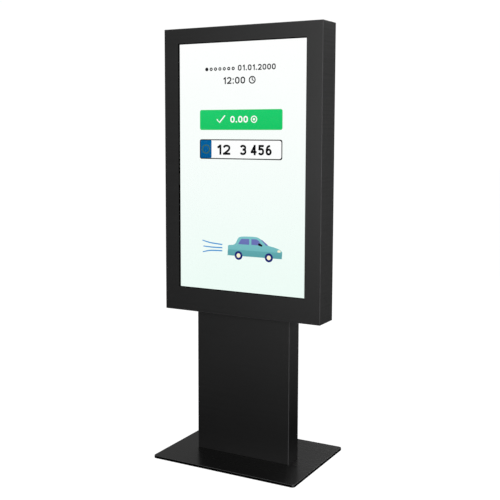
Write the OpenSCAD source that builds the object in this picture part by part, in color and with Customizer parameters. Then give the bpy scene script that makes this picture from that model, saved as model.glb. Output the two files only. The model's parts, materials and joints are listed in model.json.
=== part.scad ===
// Free-standing display stele for a car park: a portrait screen head on a flat column and a base plate.
// Origin: centre of the base plate's underside. +X is to the right of someone who faces the screen,
// +Y runs from the screen towards the rear doors, +Z is up. All sizes are in millimetres.

/* [Base plate] */
// Width of the base plate
base_w = 590; // [560:5:640]
// Depth of the base plate
base_d = 440; // [420:5:500]
// Thickness of the base plate
base_t = 10; // [8:1:12]
// Radius of the base plate's corners
base_corner_r = 12; // [5:1:30]
// From the base plate's front edge back to the head's front face
base_reach = 141; // [130:1:150]
// Radius of the four floor anchor holes
anchor_hole_r = 7; // [5:0.5:8]
// Radius of the cable entry in the base plate
cable_entry_r = 30; // [20:1:32]

/* [Column] */
// Width of the column
column_w = 390; // [380:2:420]
// Depth of the column
column_d = 80; // [78:1:90]
// From the head's front face back to the column's front face
column_setback = 24; // [20:1:28]

/* [Head] */
// Width of the display head
head_w = 650; // [640:2:680]
// Height of the display head
head_h = 1065; // [1060:1:1100]
// Depth of the display head
head_d = 110; // [110:1:120]
// Height of the head's underside above the floor
head_z = 552; // [520:1:620]
// Width of the screen window
window_w = 526; // [520:1:528]
// Height of the screen window
window_h = 920; // [900:1:938]
// From the head's underside up to the window's lower edge
window_sill = 90; // [85:1:95]

/* [Sheet metal] */
// Thickness of the folded steel sheet
sheet = 2; // [1.5:0.5:2]
// Gap round each rear door
door_gap = 3; // [2.5:0.5:4]
// Depth of the step that each rear door sits in
door_step = 13; // [13:0.5:14]

/* [Hidden] */
$fn = 48;

// Places of the main faces
front_y = -base_d / 2 + base_reach;
rear_y = front_y + head_d;
top_z = head_z + head_h;
inner_w = head_w - 2 * sheet;
column_front = front_y + column_setback;
column_rear = column_front + column_d;
column_y = (column_front + column_rear) / 2;
window_z = head_z + window_sill + window_h / 2;

// Screen stack, front to back
gasket_t = 2;
glass_t = 5;
foam_t = 2;
glass_front = front_y + sheet + gasket_t;
glass_rear = glass_front + glass_t;
bezel_front = glass_rear + foam_t;
cell_front = bezel_front + 1;
cell_t = 3;
tray_rear = bezel_front + 26;
active_w = 529.4;
active_h = 941.2;
lcd_w = 550;
lcd_h = 962;
glass_w = 560;
glass_h = 954;
rail_x = 200;
rail_w = 40;
rail_d = 20;
plate_front = tray_rear + rail_d;
plate_rear = plate_front + sheet;

// Doors, hinges and locks
flange_w = 28;
column_flange_w = 22;
hinge_reach = 6;
knuckle_r = 5;
knuckle_len = 30;
pin_r = 2.5;
pin_play = 0.05;
lock_x = head_w / 2 - 50;
lock_z = [head_z + 220, top_z - 220];
head_hinge_z = [head_z + 110, head_z + head_h / 2, top_z - 170];
pedestal_lock_x = column_w / 2 - 44;
pedestal_lock_z = 300;
pedestal_hinge_z = [90, 420];
barrel_r = 9;
plug_r = 6;
lock_play = 0.05;

// Masts in the column
mast_x = 140;
mast_w = 60;
mast_d = 40;
mast_y = column_front + sheet + 2 + mast_d / 2;
top_plate_t = 8;
mast_top = head_z - top_plate_t;
bolt_x = 80;
bolt_dy = 19;
bolt_y = column_y - 6;
bolt_r = 5;
anchor_x = 85;
anchor_dy = 22;

// Fans
fan_x = 75;
fan_z = top_z - 150;
fan_size = 92;
fan_t = 25;
fan_front = plate_front + 17;
fan_hole_r = 44;
hub_r = 19;
blade_r = 42;
blades = 7;

// Colours of the finishes
black_paint = [0.05, 0.05, 0.055];
zinc = [0.72, 0.73, 0.74];
rubber = [0.08, 0.08, 0.08];
plastic_grey = [0.8, 0.8, 0.78];
board_green = [0.05, 0.3, 0.15];

// ---- Shared shapes ----

// A block between two opposite corners
module block(lo, hi) {
    translate(lo) cube(hi - lo);
}

// A flat outline in the XZ plane, drawn out along Y from y0 to y1
module along_y(y0, y1) {
    translate([0, y1, 0]) rotate([90, 0, 0]) linear_extrude(height = y1 - y0) children();
}

// A round bar along Y
module bar_y(r, y0, y1) {
    translate([0, y1, 0]) rotate([90, 0, 0]) cylinder(r = r, h = y1 - y0);
}

// A rectangular ring in the XZ plane, centred on x = 0 and z = zc
module ring_plate(outer_w, outer_h, hole_w, hole_h, y0, y1, zc) {
    difference() {
        block([-outer_w / 2, y0, zc - outer_h / 2], [outer_w / 2, y1, zc + outer_h / 2]);
        block([-hole_w / 2, y0 - 1, zc - hole_h / 2], [hole_w / 2, y1 + 1, zc + hole_h / 2]);
    }
}

// A rectangle with round corners
module round_rect(w, h, r) {
    square([w - 2 * r, h], center = true);
    square([w, h - 2 * r], center = true);
    for (sx = [-1, 1], sz = [-1, 1]) translate([sx * (w / 2 - r), sz * (h / 2 - r)]) circle(r = r);
}

// Upright slots with round ends, side by side, centred on the origin
module slots(count, pitch, slot_w, slot_h) {
    for (i = [0 : count - 1]) translate([(i - (count - 1) / 2) * pitch, 0])
        round_rect(slot_w, slot_h, slot_w / 2 - 0.01);
}

// A hollow rectangular tube standing on z0
module tube(w, d, wall, z0, z1) {
    difference() {
        block([-w / 2, -d / 2, z0], [w / 2, d / 2, z1]);
        block([-w / 2 + wall, -d / 2 + wall, z0 - 1], [w / 2 - wall, d / 2 - wall, z1 + 1]);
    }
}

// ---- Cable routes ----

// A point on a Catmull-Rom curve between b and c
function curve_point(a, b, c, d, t) =
    0.5 * (2 * b + (c - a) * t + (2 * a - 5 * b + 4 * c - d) * t * t + (3 * b - 3 * c + d - a) * t * t * t);

// A route's points with smooth bends between them
function smooth(route, steps) = concat(
    [for (i = [0 : len(route) - 2], k = [0 : steps - 1])
        curve_point(route[max(i - 1, 0)], route[i], route[i + 1],
                    route[min(i + 2, len(route) - 1)], k / steps)],
    [route[len(route) - 1]]);

function unit(v) = v / norm(v);

// Direction of travel at point i of a path
function heading(path, i) = unit(path[min(i + 1, len(path) - 1)] - path[max(i - 1, 0)]);

// One ring of points round a path
function ring(path, i, r, sides, ref) =
    let (t = heading(path, i), u = unit(cross(t, ref)), v = cross(t, u))
    [for (k = [0 : sides - 1]) path[i] + r * (cos(360 * k / sides) * u + sin(360 * k / sides) * v)];

// A round cable along a route. ref is a direction that the route never runs in.
module cable(route, r, sides = 10, steps = 4, ref = [0, 1, 0]) {
    path = smooth(route, steps);
    n = len(path);
    points = [for (i = [0 : n - 1]) each ring(path, i, r, sides, ref)];
    walls = [for (i = [0 : n - 2], k = [0 : sides - 1])
        [i * sides + k, i * sides + (k + 1) % sides,
         (i + 1) * sides + (k + 1) % sides, (i + 1) * sides + k]];
    start_cap = [for (k = [0 : sides - 1]) sides - 1 - k];
    end_cap = [for (k = [0 : sides - 1]) (n - 1) * sides + k];
    polyhedron(points, concat([start_cap], walls, [end_cap]), convexity = 6);
}

// ---- Base and column ----

module base_plate() {
    color(black_paint) difference() {
        linear_extrude(height = base_t) round_rect(base_w, base_d, base_corner_r);
        for (sx = [-1, 1], sy = [-1, 1]) translate([sx * anchor_x, bolt_y + sy * anchor_dy, -1])
            cylinder(r = anchor_hole_r, h = base_t + 2);
        translate([0, bolt_y, -1]) cylinder(r = cable_entry_r, h = base_t + 2);
        shell_screw_places() translate([0, 0, base_t - 8]) cylinder(r = 3, h = 9);
    }
}

// Two screws hold each of the column's foot tabs on the base plate
module shell_screw_places() {
    for (sx = [-1, 1], dy = [20, 50])
        translate([sx * (column_w / 2 - 12), column_front + dy, 0]) children();
}

module column_shell() {
    color(black_paint) difference() {
        union() {
            difference() {
                block([-column_w / 2, column_front, base_t], [column_w / 2, column_rear, head_z]);
                block([-column_w / 2 + sheet, column_front + sheet, base_t - 1],
                      [column_w / 2 - sheet, column_rear + 1, head_z + 1]);
            }
            // Foot tabs folded in from the side walls
            for (sx = [-1, 1]) translate([0, 0, base_t + sheet / 2])
                side_block(sx, column_w / 2 - 22, column_w / 2 - sheet,
                           column_front + 8, column_front + 62, sheet / 2);
        }
        shell_screw_places() translate([0, 0, base_t - 1]) cylinder(r = 3.3, h = sheet + 2);
    }
}

// Flat frame that the column's door closes on
module column_frame() {
    y0 = column_rear - door_step - sheet;
    color(black_paint) difference() {
        block([-column_w / 2 + sheet, y0, base_t], [column_w / 2 - sheet, y0 + sheet, head_z]);
        block([-column_w / 2 + column_flange_w, y0 - 1, base_t + 20],
              [column_w / 2 - column_flange_w, y0 + sheet + 1, head_z - 24]);
    }
}

module shell_screws() {
    head_h = 4;
    color(zinc) shell_screw_places() {
        translate([0, 0, base_t - 7]) cylinder(r = 3, h = 7 + sheet);
        translate([0, 0, base_t + sheet]) difference() {
            cylinder(r = 5, h = head_h);
            translate([0, 0, 1.5]) cylinder(r = 2.2, h = head_h, $fn = 6);
        }
    }
}

module masts() {
    color(black_paint) for (side = [-1, 1])
        translate([side * mast_x, mast_y, 0]) tube(mast_w, mast_d, 3, base_t, mast_top);
}

module bolt_places() {
    for (sx = [-1, 1], sy = [-1, 1]) translate([sx * bolt_x, bolt_y + sy * bolt_dy, 0]) children();
}

// Places of the two cable glands, over the column. The left one is blanked off.
gland_x = [-24, 24];
gland_hole_r = 10;

module mast_top_plate() {
    color(black_paint) difference() {
        block([-column_w / 2 + sheet + 2, column_front + sheet + 1, mast_top],
              [column_w / 2 - sheet - 2, column_rear - door_step - sheet - 2, head_z]);
        bolt_places() translate([0, 0, mast_top - 1]) cylinder(r = bolt_r + 0.5, h = top_plate_t + 2);
        for (x = gland_x) translate([x, column_y, mast_top - 1]) cylinder(r = 14, h = top_plate_t + 2);
    }
}

module head_bolts() {
    color(zinc) bolt_places() {
        translate([0, 0, mast_top - 6.4]) cylinder(r = 9, h = 6.4, $fn = 6);
        translate([0, 0, mast_top]) cylinder(r = bolt_r, h = 30);
    }
}

module head_nuts() {
    nut_z = head_z + sheet + 4;
    color(zinc) bolt_places() difference() {
        translate([0, 0, nut_z]) cylinder(r = 9, h = 8, $fn = 6);
        translate([0, 0, nut_z - 1]) cylinder(r = bolt_r, h = 10);
    }
}

// Stiffener inside the head, over the column
module head_floor_plate() {
    z0 = head_z + sheet;
    color(zinc) difference() {
        block([-rail_x + rail_w / 2 + 4, front_y + 19, z0], [rail_x - rail_w / 2 - 4, rear_y - 26, z0 + 4]);
        bolt_places() translate([0, 0, z0 - 1]) cylinder(r = bolt_r + 0.5, h = 6);
        for (x = gland_x) translate([x, column_y, z0 - 1]) cylinder(r = 15, h = 6);
    }
}

// ---- Head housing and screen ----

module head_housing() {
    color(black_paint) difference() {
        block([-head_w / 2, front_y, head_z], [head_w / 2, rear_y, top_z]);
        block([-inner_w / 2, front_y + sheet, head_z + sheet], [inner_w / 2, rear_y + 1, top_z - sheet]);
        block([-window_w / 2, front_y - 1, head_z + window_sill],
              [window_w / 2, front_y + sheet + 1, head_z + window_sill + window_h]);
        bolt_places() translate([0, 0, head_z - 1]) cylinder(r = bolt_r + 0.5, h = sheet + 2);
        for (x = gland_x) translate([x, column_y, head_z - 1]) cylinder(r = gland_hole_r, h = sheet + 2);
    }
}

// Flat frame that the rear door closes on
module head_frame() {
    y0 = rear_y - door_step - sheet;
    inner_h = head_h - 2 * sheet;
    color(black_paint) ring_plate(inner_w, inner_h, inner_w - 2 * flange_w, inner_h - 2 * flange_w,
                                  y0, y0 + sheet, head_z + head_h / 2);
}

module window_gasket() {
    color(rubber) ring_plate(glass_w - 6, glass_h - 4, window_w + 4, window_h + 4,
                             front_y + sheet, glass_front, window_z);
}

module cover_glass() {
    color([0.75, 0.85, 0.85, 0.3]) block([-glass_w / 2, glass_front, window_z - glass_h / 2],
                                         [glass_w / 2, glass_rear, window_z + glass_h / 2]);
}

// Where the clamps grip the glass: four on each long side
clamp_z = [for (i = [-1.5 : 1 : 1.5]) window_z + i * 270];
clamp_bolt_x = glass_w / 2 + 17;

module glass_clamps() {
    lip_z = 15;
    color(zinc) for (sx = [-1, 1], z = clamp_z) translate([0, 0, z]) difference() {
        union() {
            side_block(sx, glass_w / 2 + 6, glass_w / 2 + 26, front_y + sheet, front_y + 2 * sheet, lip_z);
            side_block(sx, glass_w / 2 + 4, glass_w / 2 + 6, front_y + sheet, glass_rear + foam_t, lip_z);
            side_block(sx, glass_w / 2 - 4, glass_w / 2 + 4, glass_rear, glass_rear + foam_t, lip_z);
        }
        translate([sx * clamp_bolt_x, 0, 0]) bar_y(2.2, front_y, front_y + 8);
    }
}

// A block on the left or right side of the head, given by its distances from the middle
module side_block(side, x_in, x_out, y0, y1, half_h) {
    block([min(side * x_in, side * x_out), y0, -half_h], [max(side * x_in, side * x_out), y1, half_h]);
}

// Weld studs with their nuts
module clamp_nuts() {
    color(zinc) for (sx = [-1, 1], z = clamp_z) translate([sx * clamp_bolt_x, 0, z]) {
        bar_y(2, front_y + sheet, front_y + sheet + 9);
        difference() {
            translate([0, front_y + 2 * sheet + 3.2, 0]) rotate([90, 0, 0])
                cylinder(r = 4, h = 3.2, $fn = 6);
            bar_y(2, front_y, front_y + 12);
        }
    }
}

module lcd_foam_seal() {
    color(rubber) ring_plate(active_w + 18, active_h + 12, active_w + 4, active_h + 4,
                             glass_rear, bezel_front, window_z);
}

module lcd_bezel() {
    color([0.06, 0.06, 0.06]) difference() {
        block([-lcd_w / 2, bezel_front, window_z - lcd_h / 2],
              [lcd_w / 2, bezel_front + 14, window_z + lcd_h / 2]);
        block([-lcd_w / 2 + 1, bezel_front + 1, window_z - lcd_h / 2 + 1],
              [lcd_w / 2 - 1, bezel_front + 15, window_z + lcd_h / 2 - 1]);
        block([-active_w / 2 - 1, bezel_front - 1, window_z - active_h / 2 - 1],
              [active_w / 2 + 1, bezel_front + 2, window_z + active_h / 2 + 1]);
    }
}

module lcd_cell() {
    color([0.93, 0.98, 0.95]) block([-lcd_w / 2 + 3, cell_front, window_z - lcd_h / 2 + 3],
                                    [lcd_w / 2 - 3, cell_front + cell_t, window_z + lcd_h / 2 - 3]);
}

module backlight_diffuser() {
    y0 = cell_front + cell_t;
    color([0.97, 0.97, 0.97]) block([-lcd_w / 2 + 4, y0, window_z - lcd_h / 2 + 4],
                                    [lcd_w / 2 - 4, y0 + 3, window_z + lcd_h / 2 - 4]);
}

lcd_screw_z = [for (i = [-1 : 1 : 1]) window_z + i * 440];

module lcd_screw_places() {
    for (sx = [-1, 1], z = lcd_screw_z) translate([sx * rail_x, 0, z]) children();
}

// Rear pan of the display with two pressed beads
module lcd_tray() {
    rim_y = cell_front + cell_t + 3;
    color(zinc) difference() {
        block([-lcd_w / 2 + 1.5, rim_y, window_z - lcd_h / 2 + 1.5],
              [lcd_w / 2 - 1.5, tray_rear, window_z + lcd_h / 2 - 1.5]);
        block([-lcd_w / 2 + 3, rim_y - 1, window_z - lcd_h / 2 + 3],
              [lcd_w / 2 - 3, tray_rear - 1.5, window_z + lcd_h / 2 - 3]);
        lcd_screw_places() bar_y(2.6, tray_rear - 5, tray_rear + 1);
    }
}

module display_rails() {
    color(zinc) for (side = [-1, 1]) difference() {
        translate([side * rail_x, tray_rear + rail_d / 2, 0])
            tube(rail_w, rail_d, 2, head_z + sheet, top_z - sheet);
        for (z = lcd_screw_z) translate([side * rail_x, 0, z])
            bar_y(2.6, tray_rear - 1, tray_rear + rail_d + 1);
        for (z = plate_screw_z) translate([side * rail_x, 0, z])
            bar_y(2.6, plate_front - 5, plate_front + 1);
    }
}

// Long screws through the rails into the display, and short ones that hold the equipment plate
module rail_screws() {
    color(zinc) {
        lcd_screw_places() {
            bar_y(2.5, tray_rear - 4, plate_front);
            bar_y(4.5, plate_front, plate_front + 3);
        }
        for (sx = [-1, 1], z = plate_screw_z) translate([sx * rail_x, 0, z]) {
            bar_y(2.5, plate_front - 8, plate_rear);
            bar_y(4.5, plate_rear, plate_rear + 3);
        }
    }
}

// ---- Equipment behind the screen ----

plate_z0 = head_z + 208;
plate_z1 = head_z + 778;
plate_half_w = 230;
plate_screw_z = [plate_z0 + 20, plate_z1 - 20];

module equipment_plate() {
    color(zinc) difference() {
        block([-plate_half_w, plate_front, plate_z0], [plate_half_w, plate_rear, plate_z1]);
        for (sx = [-1, 1], z = lcd_screw_z) translate([sx * rail_x, 0, z])
            bar_y(6, plate_front - 1, plate_rear + 1);
        for (sx = [-1, 1], z = plate_screw_z) translate([sx * rail_x, 0, z])
            bar_y(2.6, plate_front - 1, plate_rear + 1);
        for (x = [-60, 60]) translate([x, 0, plate_z0 + 285]) along_y(plate_front - 1, plate_rear + 1)
            round_rect(16, 70, 7.9);
    }
}

// Fanless player: a box with cooling ribs and sockets along its lower edge
player_lo = [-188, plate_z0 + 330];
player_size = [190, 140];
player_rear = plate_rear + 34;
button_x = player_lo[0] + player_size[0] - 18;
button_z = player_lo[1] + 16;

module media_player() {
    ribs = 11;
    color([0.12, 0.12, 0.13]) difference() {
        union() {
            block([player_lo[0], plate_rear, player_lo[1]],
                  [player_lo[0] + player_size[0], player_rear - 8, player_lo[1] + player_size[1]]);
            block([player_lo[0], player_rear - 8, player_lo[1]],
                  [player_lo[0] + player_size[0], player_rear, player_lo[1] + 30]);
            for (i = [0 : ribs - 1]) translate([player_lo[0] + 5 + i * 17.4, 0, 0])
                block([0, player_rear - 8, player_lo[1] + 30],
                      [6, player_rear, player_lo[1] + player_size[1]]);
        }
        translate([button_x, 0, button_z]) bar_y(4.08, player_rear - 5.5, player_rear + 1);
        for (i = [0 : 3]) translate([player_lo[0] + 14 + i * 34, 0, 0])
            block([0, plate_rear + 6, player_lo[1] - 1], [24, plate_rear + 18, player_lo[1] + 9]);
    }
}

module player_button() {
    color([0.6, 0.6, 0.62]) translate([button_x, 0, button_z])
        bar_y(4, player_rear - 3.5, player_rear + 1.5);
}

psu_lo = [-205, plate_z0 + 40];
psu_size = [215, 115];
psu_rear = plate_rear + 30;

module power_supply() {
    color(zinc) difference() {
        block([psu_lo[0], plate_rear, psu_lo[1]],
              [psu_lo[0] + psu_size[0], psu_rear, psu_lo[1] + psu_size[1]]);
        // Open end over the screw terminals
        block([psu_lo[0] + psu_size[0] - 22, plate_rear + 12, psu_lo[1] - 1],
              [psu_lo[0] + psu_size[0] + 1, psu_rear + 1, psu_lo[1] + psu_size[1] + 1]);
        translate([psu_lo[0] + 92, 0, psu_lo[1] + psu_size[1] / 2]) along_y(psu_rear - 2, psu_rear + 1)
            for (row = [-2 : 2]) translate([0, row * 18]) slots(11, 14, 6, 12);
    }
}

board_lo = [30, plate_z0 + 330];
board_size = [160, 120];
board_y = plate_rear + 6;

// Display controller board on its four standoffs, with connectors and a heat sink
module driver_board() {
    color(board_green) difference() {
        block([board_lo[0], board_y, board_lo[1]],
              [board_lo[0] + board_size[0], board_y + 1.6, board_lo[1] + board_size[1]]);
        board_corners() bar_y(1.6, board_y - 1, board_y + 3);
    }
    color(zinc) board_corners() {
        difference() {
            translate([0, board_y, 0]) rotate([90, 0, 0]) cylinder(r = 3, h = 6, $fn = 6);
            bar_y(1.5, board_y - 5, board_y + 1);
        }
    }
    y1 = board_y + 1.6;
    color(rubber) {
        block([board_lo[0] + 60, y1, board_lo[1] + 45], [board_lo[0] + 100, y1 + 12, board_lo[1] + 85]);
        for (i = [0 : 3]) translate([board_lo[0] + 14 + i * 36, 0, board_lo[1] + 2])
            block([0, y1, 0], [26, y1 + 9, 14]);
        block([board_lo[0] + 30, y1, board_lo[1] + 100], [board_lo[0] + 80, y1 + 6, board_lo[1] + 108]);
        block([board_lo[0] + 110, y1, board_lo[1] + 92], [board_lo[0] + 150, y1 + 8, board_lo[1] + 106]);
    }
}

module board_corners() {
    for (dx = [6, board_size[0] - 6], dz = [20, board_size[1] - 6])
        translate([board_lo[0] + dx, 0, board_lo[1] + dz]) children();
}

thermostat_x = 120;
thermostat_z = plate_z0 + 250;
thermostat_rear = plate_rear + 34;

module thermostat() {
    color(plastic_grey) difference() {
        union() {
            block([thermostat_x - 17, plate_rear, thermostat_z - 30],
                  [thermostat_x + 17, thermostat_rear - 6, thermostat_z + 30]);
            block([thermostat_x - 17, thermostat_rear - 6, thermostat_z - 22],
                  [thermostat_x + 17, thermostat_rear, thermostat_z + 22]);
        }
        translate([thermostat_x, 0, thermostat_z]) bar_y(3.05, thermostat_rear - 8, thermostat_rear + 1);
    }
}

module thermostat_knob() {
    grips = 10;
    color([0.15, 0.3, 0.6]) translate([thermostat_x, 0, thermostat_z]) {
        bar_y(3, thermostat_rear - 7, thermostat_rear + 0.4);
        difference() {
            bar_y(11, thermostat_rear + 0.4, thermostat_rear + 6);
            for (i = [0 : grips - 1]) rotate([0, i * 360 / grips, 0]) translate([11.6, 0, 0])
                bar_y(1.6, thermostat_rear, thermostat_rear + 7);
            block([-0.8, thermostat_rear + 5, 2], [0.8, thermostat_rear + 7, 9]);
        }
    }
}

// ---- Fans ----

module fan_bracket() {
    half_w = rail_x + 14;
    half_h = 56;
    color(zinc) difference() {
        union() {
            block([-half_w, fan_front - sheet, fan_z - half_h], [half_w, fan_front, fan_z + half_h]);
            for (sx = [-1, 1]) translate([0, 0, fan_z]) {
                side_block(sx, half_w - sheet, half_w, plate_front, fan_front - sheet, half_h);
                side_block(sx, half_w - 16, half_w, plate_front, plate_front + sheet, half_h);
            }
        }
        for (sx = [-1, 1]) translate([sx * fan_x, 0, fan_z])
            bar_y(fan_hole_r, fan_front - 5, fan_front + 1);
    }
}

module fan_frame(side) {
    half = fan_size / 2;
    motor_y0 = fan_front + 0.3;
    motor_y1 = fan_front + 3;
    color(rubber) translate([side * fan_x, 0, fan_z]) {
        difference() {
            block([-half, fan_front, -half], [half, fan_front + fan_t, half]);
            bar_y(fan_hole_r, fan_front - 1, fan_front + fan_t + 1);
            for (sx = [-1, 1], sz = [-1, 1]) translate([sx * 41, 0, sz * 41])
                bar_y(2.1, fan_front - 1, fan_front + fan_t + 1);
        }
        // Motor plate on four struts
        difference() {
            union() {
                bar_y(hub_r, motor_y0, motor_y1);
                block([-half + 1, motor_y0, -2.5], [half - 1, motor_y1, 2.5]);
                block([-2.5, motor_y0, -half + 1], [2.5, motor_y1, half - 1]);
            }
            bar_y(2.05, motor_y0 - 1, motor_y1 + 1);
        }
    }
}

module fan_rotor(side) {
    hub_front = fan_front + 3.5;
    hub_rear = fan_front + fan_t - 2;
    color([0.1, 0.1, 0.1]) translate([side * fan_x, 0, fan_z]) {
        bar_y(2, fan_front + 0.5, hub_front);
        bar_y(hub_r, hub_front, hub_rear);
        for (i = [0 : blades - 1]) rotate([0, i * 360 / blades, 0])
            translate([0, (hub_front + hub_rear) / 2, 0])
                rotate([35, 0, 0]) block([hub_r - 1.5, -1, -12], [blade_r - 1.5, 1, 12]);
    }
}

// ---- Mains distribution in the column ----

rail_z = 330;

module distribution_plate() {
    y1 = mast_y - mast_d / 2;
    color(zinc) difference() {
        block([-mast_x - mast_w / 2, y1 - sheet, rail_z - 75], [mast_x + mast_w / 2, y1, rail_z + 75]);
        for (sx = [-1, 1]) translate([sx * 95, 0, rail_z]) along_y(y1 - 5, y1 + 1) round_rect(10, 60, 4.9);
    }
}

module din_rail() {
    y0 = mast_y - mast_d / 2;
    length = 210;
    color(zinc) {
        difference() {
            block([-length / 2, y0, rail_z - 13.5], [length / 2, y0 + 7.5, rail_z + 13.5]);
            block([-length / 2 - 1, y0 + 1, rail_z - 12.5], [length / 2 + 1, y0 + 8, rail_z + 12.5]);
        }
        for (sz = [-1, 1]) translate([0, 0, rail_z + sz * 15.5])
            block([-length / 2, y0 + 6.5, -2], [length / 2, y0 + 7.5, 2]);
    }
}

// Outline of a rail-mounted device, seen from its side: y to the rear, z up
device_y0 = mast_y - mast_d / 2 + 7.5;
shoulder_y = device_y0 + 37;
nose_y = device_y0 + 50;

module device_body(x0, x1) {
    block([x0, device_y0, rail_z - 42], [x1, shoulder_y, rail_z + 42]);
    block([x0, shoulder_y, rail_z - 23], [x1, nose_y, rail_z + 23]);
}

lever_y = nose_y - 5;
lever_reach = 15;
lever_x = -62;

module circuit_breaker() {
    color(plastic_grey) difference() {
        device_body(lever_x - 18, lever_x + 18);
        translate([lever_x - 12.5, lever_y, rail_z]) rotate([0, 90, 0]) cylinder(r = 8.3, h = 25);
        block([lever_x - 12.5, lever_y, rail_z - 17], [lever_x + 12.5, nose_y + 1, rail_z + 17]);
        for (sx = [-9, 9], sz = [-1, 1]) translate([lever_x + sx, 0, rail_z + sz * 33])
            bar_y(3, shoulder_y - 6, shoulder_y + 1);
    }
}

module breaker_lever() {
    tilt = 40;
    color([0.1, 0.2, 0.5]) translate([lever_x, lever_y, rail_z]) {
        translate([-12, 0, 0]) rotate([0, 90, 0]) cylinder(r = 8, h = 24);
        rotate([tilt, 0, 0]) block([-10, 4, -2.5], [10, lever_reach, 2.5]);
    }
}

module surge_protector() {
    color([0.75, 0.2, 0.12]) for (i = [0 : 1]) difference() {
        device_body(-36 + i * 18.2, -36 + i * 18.2 + 18);
        for (sz = [-1, 1]) translate([-27 + i * 18.2, 0, rail_z + sz * 33])
            bar_y(3, shoulder_y - 6, shoulder_y + 1);
        block([-32 + i * 18.2, nose_y - 1, rail_z + 6], [-22 + i * 18.2, nose_y + 1, rail_z + 14]);
    }
}

module terminal_blocks() {
    count = 8;
    color([0.6, 0.62, 0.62]) for (i = [0 : count - 1]) translate([16 + i * 6.3, 0, 0]) difference() {
        union() {
            block([0, device_y0, rail_z - 26], [6, device_y0 + 30, rail_z + 26]);
            block([0, device_y0 + 30, rail_z - 14], [6, device_y0 + 38, rail_z + 14]);
        }
        for (sz = [-1, 1]) translate([3, 0, rail_z + sz * 20]) bar_y(2.2, device_y0 + 22, device_y0 + 31);
    }
}

// ---- Cables and glands ----

gland_z = head_z + sheet;

module cable_glands() {
    color(rubber) for (x = gland_x) translate([x, column_y, 0]) difference() {
        union() {
            translate([0, 0, head_z - 4]) cylinder(r = 13, h = 4, $fn = 6);
            translate([0, 0, head_z - 1]) cylinder(r = gland_hole_r, h = sheet + 5);
            translate([0, 0, gland_z]) cylinder(r = 13.5, h = 5, $fn = 6);
            translate([0, 0, gland_z + 5]) cylinder(r = 10.5, h = 9);
        }
        if (x > 0) translate([0, 0, head_z - 5]) cylinder(r = cable_r + 0.2, h = 30);
    }
}

cable_r = 5;
lead_r = 2;
psu_end_x = psu_lo[0] + psu_size[0] - 11;

// Mains lead: terminal blocks, gland, power supply
riser_route = [
    [40, -26, rail_z + 26.5], [40, -26, 368], [40, -24, 396], [36, -18, 440], [24, column_y, 500],
    [24, column_y, 530], [24, column_y, head_z], [24, column_y, head_z + 24], [24, column_y, head_z + 44],
    [20, -8, 650], [8, 0, 700],
    [psu_end_x, 0, 760], [psu_end_x, 0, 800], [psu_end_x, 0, 830]
];
// Picture lead: player to driver board
display_route = [
    [-60, -8, player_lo[1] + 8], [-60, -8, 1075], [-52, -4, 1048], [-10, 4, 1034], [34, 4, 1036],
    [55, -4, 1058], [57, -8, 1078], [57, -8, board_lo[1] + 1.5]
];
// Low-voltage lead: power supply to driver board
supply_route = [
    [psu_end_x + 2, 0, 885], [psu_end_x + 2, 0, 915], [6, 6, 950], [24, 8, 985], [66, 4, 1014],
    [88, -4, 1048], [93, -8, 1074], [93, -8, board_lo[1] + 1.5]
];
// Thermostat to the right fan and to the left fan
fan_routes = [
    [[128, -8, thermostat_z + 31], [128, -8, 1050], [150, -12, 1064], [196, -15, 1078], [212, -16, 1110],
     [212, -16, 1220], [212, -15, 1330], [190, -4, 1378], [120, 6, 1396], [82, 8, 1406],
     [75, 8, fan_z - fan_size / 2 - 0.5]],
    [[112, -8, thermostat_z + 31], [112, -8, 1054], [140, -10, 1072], [192, -10, 1086], [206, -11, 1116],
     [206, -11, 1220], [206, -10, 1326], [180, 2, 1364], [80, 10, 1378], [-40, 10, 1390],
     [-72, 8, 1404], [-75, 8, fan_z - fan_size / 2 - 0.5]]
];
// Breaker to surge protector, and surge protector to terminal blocks
column_routes = [
    [[-53, -20, rail_z - 42.5], [-53, -20, 276], [-46, -18, 262], [-30, -18, 262], [-27, -20, 276],
     [-27, -20, rail_z - 42.5]],
    [[-9, -20, rail_z - 42.5], [-9, -20, 274], [0, -22, 260], [16, -24, 264], [22, -26, 284],
     [22, -26, rail_z - 26.5]]
];

module riser_cable() {
    color([0.1, 0.1, 0.1]) cable(riser_route, cable_r, 10, 4);
}

module display_cable() {
    color([0.1, 0.1, 0.1]) cable(display_route, 3, 8, 4);
}

module supply_cable() {
    color([0.5, 0.08, 0.06]) cable(supply_route, 2.5, 8, 4);
}

module fan_leads() {
    color([0.1, 0.1, 0.1]) for (route = fan_routes) cable(route, lead_r, 8, 4, [0, 1, 0]);
}

module column_wires() {
    color([0.1, 0.2, 0.5]) for (route = column_routes) cable(route, lead_r, 8, 4, [0, 1, 0]);
}

// ---- Hinges ----

head_hinge_axis = [-inner_w / 2 + 3.5, rear_y + hinge_reach];
pedestal_hinge_axis = [-column_w / 2 + sheet + 3.5, column_rear + hinge_reach];

// Lower half: screwed inside the side wall
module fixed_leaf(axis, wall_x, leaf_y0) {
    difference() {
        union() {
            translate([axis[0], axis[1], 0]) cylinder(r = knuckle_r, h = knuckle_len);
            block([wall_x, leaf_y0, 0], [wall_x + 1.8, axis[1], knuckle_len]);
        }
        translate([axis[0], axis[1], -1]) cylinder(r = pin_r, h = knuckle_len + 2);
    }
}

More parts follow.
